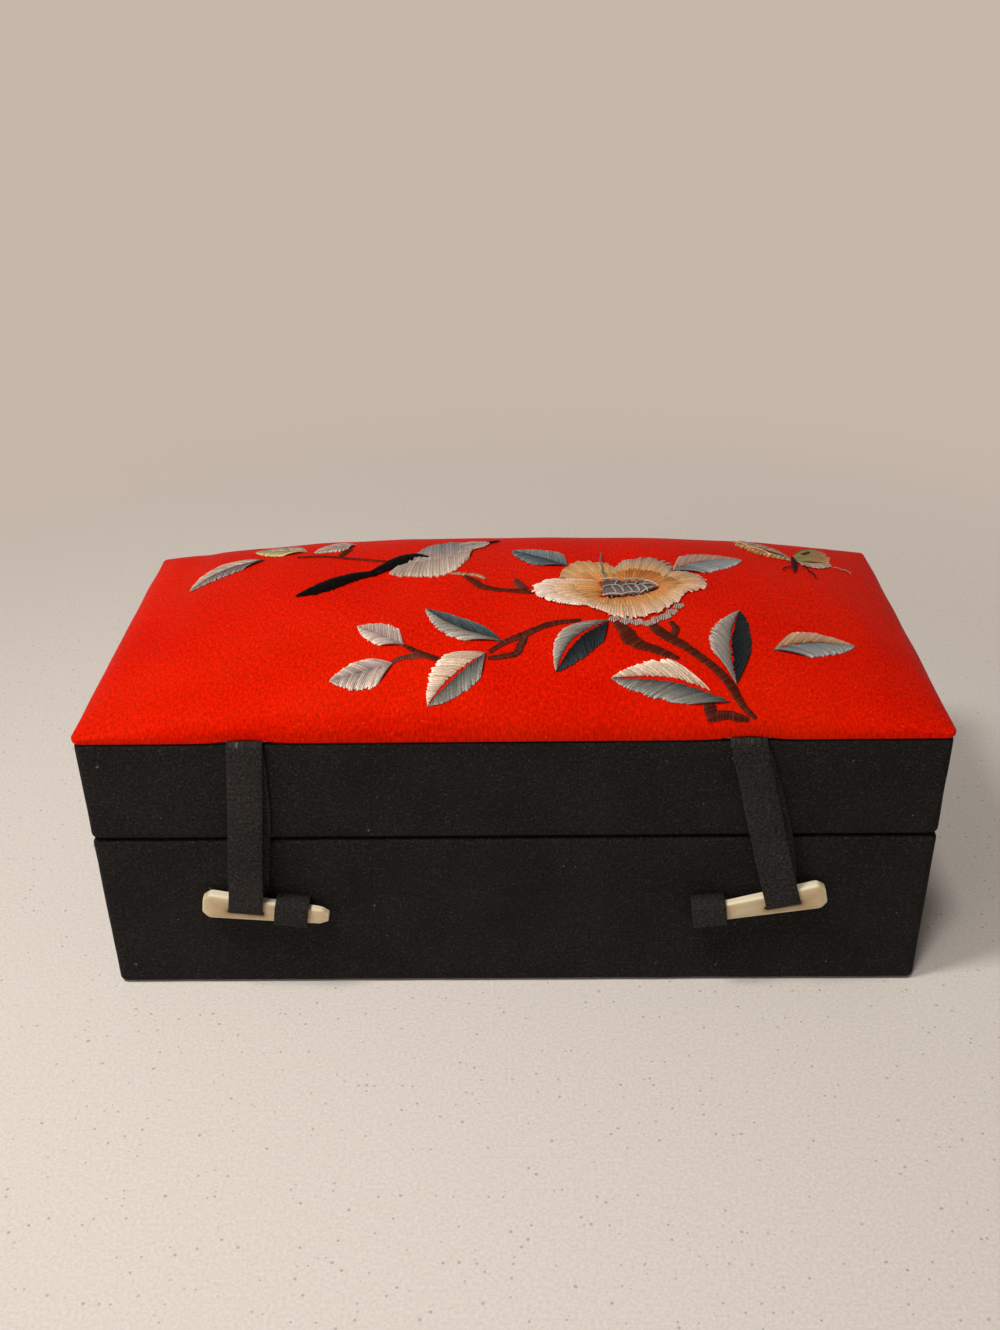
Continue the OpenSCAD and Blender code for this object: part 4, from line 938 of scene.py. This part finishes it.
def face_out(piece):
    work = bmesh.new()
    work.from_mesh(piece.data)
    bmesh.ops.remove_doubles(work, verts=work.verts, dist=1e-6)
    bmesh.ops.recalc_face_normals(work, faces=work.faces)
    work.to_mesh(piece.data)
    work.free()


def swept(name, sections, closed_path=False, uv_run=None):
    """A solid skinned over like closed sections, with its ends closed by fans."""
    n, m = len(sections), len(sections[0])
    points = [p for s in sections for p in s]
    faces = []
    for i in range(n if closed_path else n - 1):
        j = (i + 1) % n
        faces += [(i * m + k, i * m + (k + 1) % m, j * m + (k + 1) % m, j * m + k) for k in range(m)]
    if not closed_path:
        for first in (0, (n - 1) * m):
            middle = np.mean([points[first + k] for k in range(m)], axis=0)
            points.append(tuple(middle))
            faces += [(first + k, first + (k + 1) % m, len(points) - 1) for k in range(m)]
    piece = mesh_piece(name, points, faces)
    face_out(piece)
    if uv_run:
        layer = piece.data.uv_layers.new(name="cloth")
        at = np.empty(len(piece.data.vertices) * 3)
        piece.data.vertices.foreach_get("co", at)
        at = at.reshape(-1, 3)
        flat = np.array([uv_run(*p) for p in at * 1000]) * 0.001
        layer.data.foreach_set("uv", flat[[loop.vertex_index for loop in piece.data.loops]].ravel())
    return piece


sections = []
for z in np.concatenate([[-hinge_h / 2], np.linspace(-hinge_h / 2 + 0.3, -1, 18), np.linspace(-0.8, 0.8, 9),
                         np.linspace(1, hinge_h / 2 - 0.3, 18), [hinge_h / 2]]):
    ring = []
    end = 0.12 if abs(z) > hinge_h / 2 - 0.1 else 1.0
    crease = 0.22 * math.exp(-(z / 0.5) ** 2)
    for x in np.linspace(-hinge_w / 2, hinge_w / 2, 98):
        uneven = 0.05 * ripple(x, z, 12.0, 41)
        edge = 0.2 * ripple(x, z, 9.0, 43) * (abs(z) > hinge_h / 2 - 0.5)
        ring.append((x, box_d / 2 + 0.02 + (hinge_t - 0.06) * end + uneven * end - crease, seam_z + z + edge))
    for x in np.linspace(hinge_w / 2, -hinge_w / 2, 98):
        ring.append((x, box_d / 2 + 0.01 - crease, seam_z + z + 0.2 * ripple(x, z, 9.0, 43) * (abs(z) > hinge_h / 2 - 0.5)))
    sections.append(ring)
hinge = swept("hinge_cloth_strip", sections, uv_run=lambda x, y, z: (x, z))
hinge.data.materials.append(black_cloth)
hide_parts("hinge_cloth")
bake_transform(hinge)

# Inner hinge strip. Gold silk is glued to the back linings of both trays, with a pleat pushed into the box between the
# rims; the strip is made as it lies with the lid closed, and does not open out as the lid goes back.
strip_w = 189.0
strip_t = 0.4
strip_y = 43.5
pleat = 3.0
line = [(0, -10.25), (0, -4), (0, -1.2), (-0.25, -0.62), (-1.6, -0.36), (-pleat + 0.1, -0.3), (-pleat - 0.16, 0),
        (-pleat + 0.1, 0.3), (-1.6, 0.36), (-0.25, 0.62), (0, 1.2), (0, 4), (0, 10.25)]
line = smooth([(y - strip_t / 2, z) for y, z in line], 60)
way = np.gradient(line, axis=0)
off = np.column_stack([way[:, 1], -way[:, 0]]) / np.linalg.norm(way, axis=1)[:, None] * strip_t / 2
round_it = np.vstack([line + off, (line - off)[::-1]])
sections = []
for x in np.linspace(-strip_w / 2, strip_w / 2, 64):
    wave = 0.06 * ripple(x, 0, 14.0, 47)
    sections.append([(x, strip_y + y + wave * min(0, y) / pleat, seam_z + z) for y, z in round_it])
strip = swept("inner_hinge_silk", sections, uv_run=lambda x, y, z: (x, z + y))
strip.data.materials.append(gold_silk_cushion)
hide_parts("inner_hinge_strip")
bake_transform(strip)

# Ribbons. Each is black cotton tape, doubled. Both ends are glued under the padded top; it bends over
# the lid's front edge, hangs to its peg, goes through the peg's slot and comes up behind it.
ribbon_w = 8.2
ribbon_t = 0.45
ribbon_l = 44.7
fold_z = 70.95
front_y = -48.0
lean = {"left": 5.0, "right": 14.0}
outwards = {"left": -1, "right": 1}
black_ribbon = cloth_finish("black cotton tape", (0.021, 0.0185, 0.017), 2600.0, 0.6, 0.8)


def hung(side, lx, lz, share=1.0):
    """Plan place and height of a point of a clasp, hung from its ribbon's fold at a lean."""
    a = math.radians(lean[side]) * share
    return (ribbon_at[side] + outwards[side] * (lx * math.cos(a) - lz * math.sin(a)),
            fold_z + lx * math.sin(a) + lz * math.cos(a))


def tape(name, side, path, shift, seed):
    """A layer of ribbon along a side view path of (distance out from the front, height from the fold)."""
    line = np.array(path, float)
    way = np.gradient(line, axis=0)
    way /= np.linalg.norm(way, axis=1)[:, None]
    off = np.column_stack([way[:, 1], -way[:, 0]])
    run = np.concatenate([[0], np.cumsum(np.linalg.norm(np.diff(line, axis=0), axis=1))])
    half = ribbon_w / 2
    across = [-half, -half + 0.25, -half * 0.6, -half * 0.2, half * 0.2, half * 0.6, half - 0.25, half]
    thick = [0.55, 1.05, 0.95, 1, 1, 0.95, 1.05, 0.55]
    sections = []
    for i, (out, down) in enumerate(line):
        ring = []
        for sign in (1, -1):
            for w, t in list(zip(across, thick))[::sign]:
                o = out + sign * off[i, 0] * t * ribbon_t / 2
                h = down + sign * off[i, 1] * t * ribbon_t / 2
                hang = max(0.0, -h)
                cup = 0.10 * (w / half) ** 2 * min(1, hang / 6)
                x, z = hung(side, w + outwards[side] * shift(run[i]) + 0.12 * ripple(run[i], 0, 15.0, seed) * min(1, hang / 8), h,
                            1.0 if hang > 0.01 else 0.0)
                ring.append((x, front_y - o + cup, z))
        sections.append(ring)
    return swept(name, sections, uv_run=lambda x, y, z: (x, z - y))


for side in ("left", "right"):
    bend = [(-6.0, 0.75), (-4.0, 0.9), (-2.0, 0.98), (-0.8, 1.0), (-0.2, 0.95), (0.3, 0.75), (0.62, 0.4), (0.75, 0.0),
            (0.8, -0.4), (0.8, -0.8)]
    line = smooth(bend, 30)
    way = np.gradient(line, axis=0)
    off = np.column_stack([-way[:, 1], way[:, 0]]) / np.linalg.norm(way, axis=1)[:, None] * (ribbon_t + 0.02)
    half = ribbon_w / 2
    sections = []
    for k in range(len(line)):
        ring = []
        for sign in (1, -1):
            for w in (-half, -half + 0.2, -half * 0.3, half * 0.3, half - 0.2, half)[::sign]:
                t = 0.7 if abs(w) == half else 1.0
                ring.append((ribbon_at[side] + w, front_y - line[k, 0] - sign * off[k, 0] * t,
                             fold_z + line[k, 1] + sign * off[k, 1] * t))
        sections.append(ring)
    piece = swept(f"ribbon_bend_{side}", sections, uv_run=lambda x, y, z: (x, z - y))
    piece.data.materials.append(black_ribbon)
    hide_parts(f"ribbon_tail_{side}", f"ribbon_fold_{side}")
    at = ribbon_at[side] * 0.001
    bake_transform(piece)

    foot = -ribbon_l - 0.6
    loop = [(0.53, -0.3), (0.53, -2), (0.53, -10), (0.53, -20), (0.53, -30), (0.53, -40), (0.53, foot + 0.8),
            (0.62, foot + 0.3), (0.9, foot + 0.04), (1.3, foot), (2.6, foot), (3.6, foot), (4.02, foot + 0.06),
            (4.26, foot + 0.32), (4.34, foot + 0.8), (4.36, -43.8), (4.34, -42.6), (4.24, -41.4), (4.0, -39.8),
            (3.7, -36), (3.2, -30.5), (2.6, -24), (2.1, -17.5), (1.65, -11.6), (1.32, -7.4), (1.13, -4.8), (1.07, -2),
            (1.07, -0.3)]
    piece = tape(f"ribbon_loop_{side}", side, smooth(loop, 150),
                 lambda run: 1.5 * max(0.0, math.sin(math.pi * min(run, 44) / 44)) ** 0.8,
                 51 if side == "left" else 57)
    piece.data.materials.append(black_ribbon)
    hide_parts(f"ribbon_{side}")
    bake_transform(piece)

# Bone pegs. Each is a bar filed from bone, thick at its head and thinner to its tip, with a slot for the ribbon across
# it. Its top and bottom edges and its ends are lighter as a painted highlight, and it is painted brown round the slot.
head_l = 10.5
tip_l = 19.9
head_h = 7.3
tip_h = 4.0
bone_t = 3.0
bone_tip_t = 2.2
bone_y = front_y - 2.45
slot_drop = 0.6
slot_w = 8.8
slot_h = 1.05
peg_tilt = {"left": 3.2, "right": -1.7}


def turned(lx, lz, about, degrees):
    """A point of a clasp turned about another one, its head upwards."""
    c, s = math.cos(math.radians(degrees)), math.sin(math.radians(degrees))
    dx, dz = lx - about[0], lz - about[1]
    return about[0] + dx * c - dz * s, about[1] + dx * s + dz * c


def bone_finish():
    material, tree, shader = finish_named("bone", roughness=0.42, subsurface_weight=0.12)
    shader.inputs["Subsurface Radius"].default_value = (0.0012, 0.0009, 0.0006)
    place = put(tree, "ShaderNodeTexCoord").outputs["UV"]
    drawn = put(tree, "ShaderNodeMapping", None, {"Vector": place, "Scale": (0.12, 1.0, 1.0)}).outputs[0]
    streaks = put(tree, "ShaderNodeTexNoise", None, {"Vector": drawn, "Scale": 1500.0, "Detail": 3.0}).outputs["Fac"]
    cloud = put(tree, "ShaderNodeTexNoise", None, {"Vector": place, "Scale": 130.0, "Detail": 3.0}).outputs["Fac"]
    brown_by_slot = put(tree, "ShaderNodeAttribute", {"attribute_name": "brown_by_slot"}).outputs["Fac"]
    pale = put(tree, "ShaderNodeMix", {"data_type": "RGBA"},
               {0: level(tree, cloud, 0.35, 0.65, 0.0, 1.0), 6: (0.66, 0.53, 0.34, 1), 7: (0.56, 0.40, 0.21, 1)}).outputs[2]
    lined = tint(tree, pale, level(tree, streaks, 0.3, 0.7, 0.9, 1.06))
    # Painted highlight: the bone is lighter along the top and bottom of the bar and at its ends.
    edge = put(tree, "ShaderNodeAttribute", {"attribute_name": "edge"}).outputs["Fac"]
    lined = put(tree, "ShaderNodeMix", {"data_type": "RGBA"}, {0: edge, 6: lined, 7: (0.88, 0.79, 0.60, 1)}).outputs[2]
    # The bone is painted brown round the slot, mottled by the cloud noise.
    spread = calc(tree, "MULTIPLY", brown_by_slot, level(tree, cloud, 0.3, 0.7, 0.6, 1.2))
    worn_and_edge_lit = put(tree, "ShaderNodeMix", {"data_type": "RGBA"}, {0: spread, 6: lined, 7: (0.26, 0.115, 0.035, 1)}).outputs[2]
    tree.links.new(worn_and_edge_lit, shader.inputs["Base Color"])
    tree.links.new(level(tree, streaks, 0.3, 0.7, 0.36, 0.52), shader.inputs["Roughness"])
    bump = put(tree, "ShaderNodeBump", None, {"Strength": 0.25, "Distance": 0.0001, "Height": streaks})
    tree.links.new(bump.outputs[0], shader.inputs["Normal"])
    return material


def soft_square(a, power):
    c, s = math.cos(a), math.sin(a)
    r = (abs(c) ** power + abs(s) ** power) ** (-1 / power)
    return c * r, s * r


def bone_bar(name, side):
    stations = [(0, 0.52), (0.002, 0.58), (0.015, 0.70), (0.035, 0.85), (0.055, 0.965), (0.07, 0.995), (0.1, 1), (0.3, 1),
                (0.5, 1), (0.7, 1), (0.88, 1), (0.93, 0.975), (0.95, 0.9), (0.975, 0.74), (0.995, 0.6), (0.999, 0.5)]
    line = smooth(stations, 90)
    sections = []
    for t, k in line:
        high = head_h + (tip_h - head_h) * t
        ring = []
        for i in range(56):
            u, v = soft_square(2 * math.pi * i / 56, 6.0)
            lx, lz = head_l - (head_l + tip_l) * t, -ribbon_l + v * high / 2 * k
            x, z = hung(side, *turned(lx, lz, (0, -ribbon_l), peg_tilt[side]))
            ring.append((x, bone_y + u * (bone_t + (bone_tip_t - bone_t) * t) / 2 * (0.4 + 0.6 * k), z))
        sections.append(ring)
    bar = swept(name + "_whole", sections)
    corners = []
    for y in (-bone_t, bone_t):
        ring = []
        for i in range(24):
            c, s = math.cos(2 * math.pi * i / 24), math.sin(2 * math.pi * i / 24)
            lx = c * slot_h / 2 + math.copysign(slot_w / 2 - slot_h / 2, c)
            x, z = hung(side, *turned(lx, -ribbon_l - slot_drop + s * slot_h / 2, (0, -ribbon_l), peg_tilt[side]))
            ring.append((x, bone_y + y, z))
        corners.append(ring)
    cutter = swept(name + "_slot", corners)
    cut = bar.modifiers.new("slot", "BOOLEAN")
    cut.operation = "DIFFERENCE"
    cut.object = cutter
    cut.solver = "EXACT"
    grain = bar.modifiers.new("even mesh", "REMESH")
    grain.mode = "VOXEL"
    grain.voxel_size = 0.00017
    soften = bar.modifiers.new("worn edges", "SMOOTH")
    soften.factor = 0.5
    soften.iterations = 3
    mesh = bpy.data.meshes.new_from_object(bar.evaluated_get(bpy.context.evaluated_depsgraph_get()))
    mesh.name = name
    mesh.shade_smooth()
    bpy.data.objects.remove(bar)
    bpy.data.objects.remove(cutter)
    piece = bpy.data.objects.new(name, mesh)
    bpy.context.scene.collection.objects.link(piece)
    at = np.empty(len(mesh.vertices) * 3)
    mesh.vertices.foreach_get("co", at)
    at = at.reshape(-1, 3) * 1000
    a = math.radians(lean[side])
    dx, dz = (at[:, 0] - ribbon_at[side]) * outwards[side], at[:, 2] - fold_z
    lx, lz = dx * math.cos(a) + dz * math.sin(a), -dx * math.sin(a) + dz * math.cos(a)
    lx, lz = turned(lx, lz, (0, -ribbon_l), -peg_tilt[side])
    # Mask of the painted highlight: the top and bottom of the bar and its two ends.
    along = (head_l - lx) / (head_l + tip_l)
    worn_and_edge_lit = np.abs(lz + ribbon_l) / (head_h + (tip_h - head_h) * along) * 2
    worn_and_edge_lit = np.clip((worn_and_edge_lit - 0.8) / 0.16, 0, 1) + np.exp(-np.minimum(head_l - lx, lx + tip_l) / 0.35)
    mesh.attributes.new("edge", "FLOAT", "POINT").data.foreach_set("value", np.clip(worn_and_edge_lit * 0.8, 0, 0.8).astype(np.float32))
    # Mask of the brown: round the slot, and in a short line above each end of it.
    from_slot = np.hypot(np.maximum(0, np.abs(lx) - slot_w / 2 + 0.4), lz + ribbon_l + slot_drop)
    brown_by_slot = np.clip(np.exp(-(from_slot - 0.5) / 0.8), 0, 1)
    brown_by_slot += 0.5 * np.exp(-np.abs(lz + ribbon_l - 1.5) / 0.5) * np.exp(-((np.abs(lx) - slot_w / 2) / 1.2) ** 2)
    mesh.attributes.new("brown_by_slot", "FLOAT", "POINT").data.foreach_set("value", np.clip(brown_by_slot, 0, 1).astype(np.float32))
    layer = mesh.uv_layers.new(name="grain")
    flat = np.column_stack([lx, lz + at[:, 1]]) * 0.001
    layer.data.foreach_set("uv", flat[[loop.vertex_index for loop in mesh.loops]].ravel())
    return piece


bone = bone_finish()
for side in ("left", "right"):
    piece = bone_bar(f"bone_peg_{side}", side)
    piece.data.materials.append(bone)
    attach(piece, f"clasp_{side}")
    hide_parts(f"peg_{side}")

# Keeper loops. Each is a short loop of folded black cotton glued to the base's front, which the
# thin end of a peg is pushed through.
keeper_w = 8.0
keeper_t = 0.5
keeper_back = 0.94
hole_d = 3.0
hole_h = 6.2
along_peg = {"left": 10.9, "right": 17.6}
loop_turn = {"left": 0.0, "right": -6.0}
loop_rise = {"left": 0.0, "right": 0.3}

for side in ("left", "right"):
    sections = []
    for w in np.linspace(-1, 1, 33):
        thin = keeper_t * (1 - 0.42 * max(0.0, abs(w) - 0.9) / 0.1)
        out_d, out_h = keeper_back + hole_d + keeper_t, hole_h + 2 * keeper_t
        ring = []
        for grow, order in ((0, 1), (thin, -1)):
            back = 0.05 if grow == 0 else keeper_back
            d, h = out_d - grow, out_h / 2 - grow
            r = 1.3 - grow
            turn = (arc(d - r, -h + r, r, -90, 0, 6) + [(d, z) for z in np.linspace(-h + r, h - r, 9)[1:-1]]
                    + arc(d - r, h - r, r, 0, 90, 6))
            profile = [(back, -h)] + turn + [(back, h)] + [(back, z) for z in np.linspace(h, -h, 7)[1:-1]]
            line = []
            for o, z in profile:
                frayed = 0.12 * ripple(o * 2, z, 3.0, 67) * max(0.0, abs(w) - 0.85) / 0.15
                lx = -along_peg[side] + keeper_w / 2 * w + frayed
                lz = loop_rise[side] - ribbon_l + z + 0.12 * ripple(w * 4, z, 6.0, 61) * (o > 0.3)
                lx, lz = turned(lx, lz, (-along_peg[side], -ribbon_l), loop_turn[side])
                x, high = hung(side, *turned(lx, lz, (0, -ribbon_l), peg_tilt[side]))
                line.append((x, front_y - o - 0.1 * ripple(w * 4, z, 5.0, 71) * (o > 0.3), high))
            ring.append(line)
        sections.append(ring)
    n = len(sections[0][0])
    points = [p for rings in sections for ring in rings for p in ring]
    faces = []
    for i in range(len(sections)):
        first = i * 2 * n
        for k in range(n):
            j = (k + 1) % n
            if i + 1 < len(sections):
                faces.append((first + k, first + j, first + 2 * n + j, first + 2 * n + k))
                faces.append((first + n + j, first + n + k, first + 3 * n + k, first + 3 * n + j))
            if i in (0, len(sections) - 1):
                faces.append((first + k, first + j, first + n + j, first + n + k))
    piece = mesh_piece(f"keeper_loop_{side}", points, faces)
    face_out(piece)
    layer = piece.data.uv_layers.new(name="cloth")
    at = np.array([piece.data.vertices[loop.vertex_index].co for loop in piece.data.loops])
    layer.data.foreach_set("uv", np.column_stack([at[:, 0], at[:, 2] + at[:, 1]]).ravel())
    piece.data.materials.append(black_ribbon)
    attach(piece, "base")
    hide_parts(f"keeper_{side}")
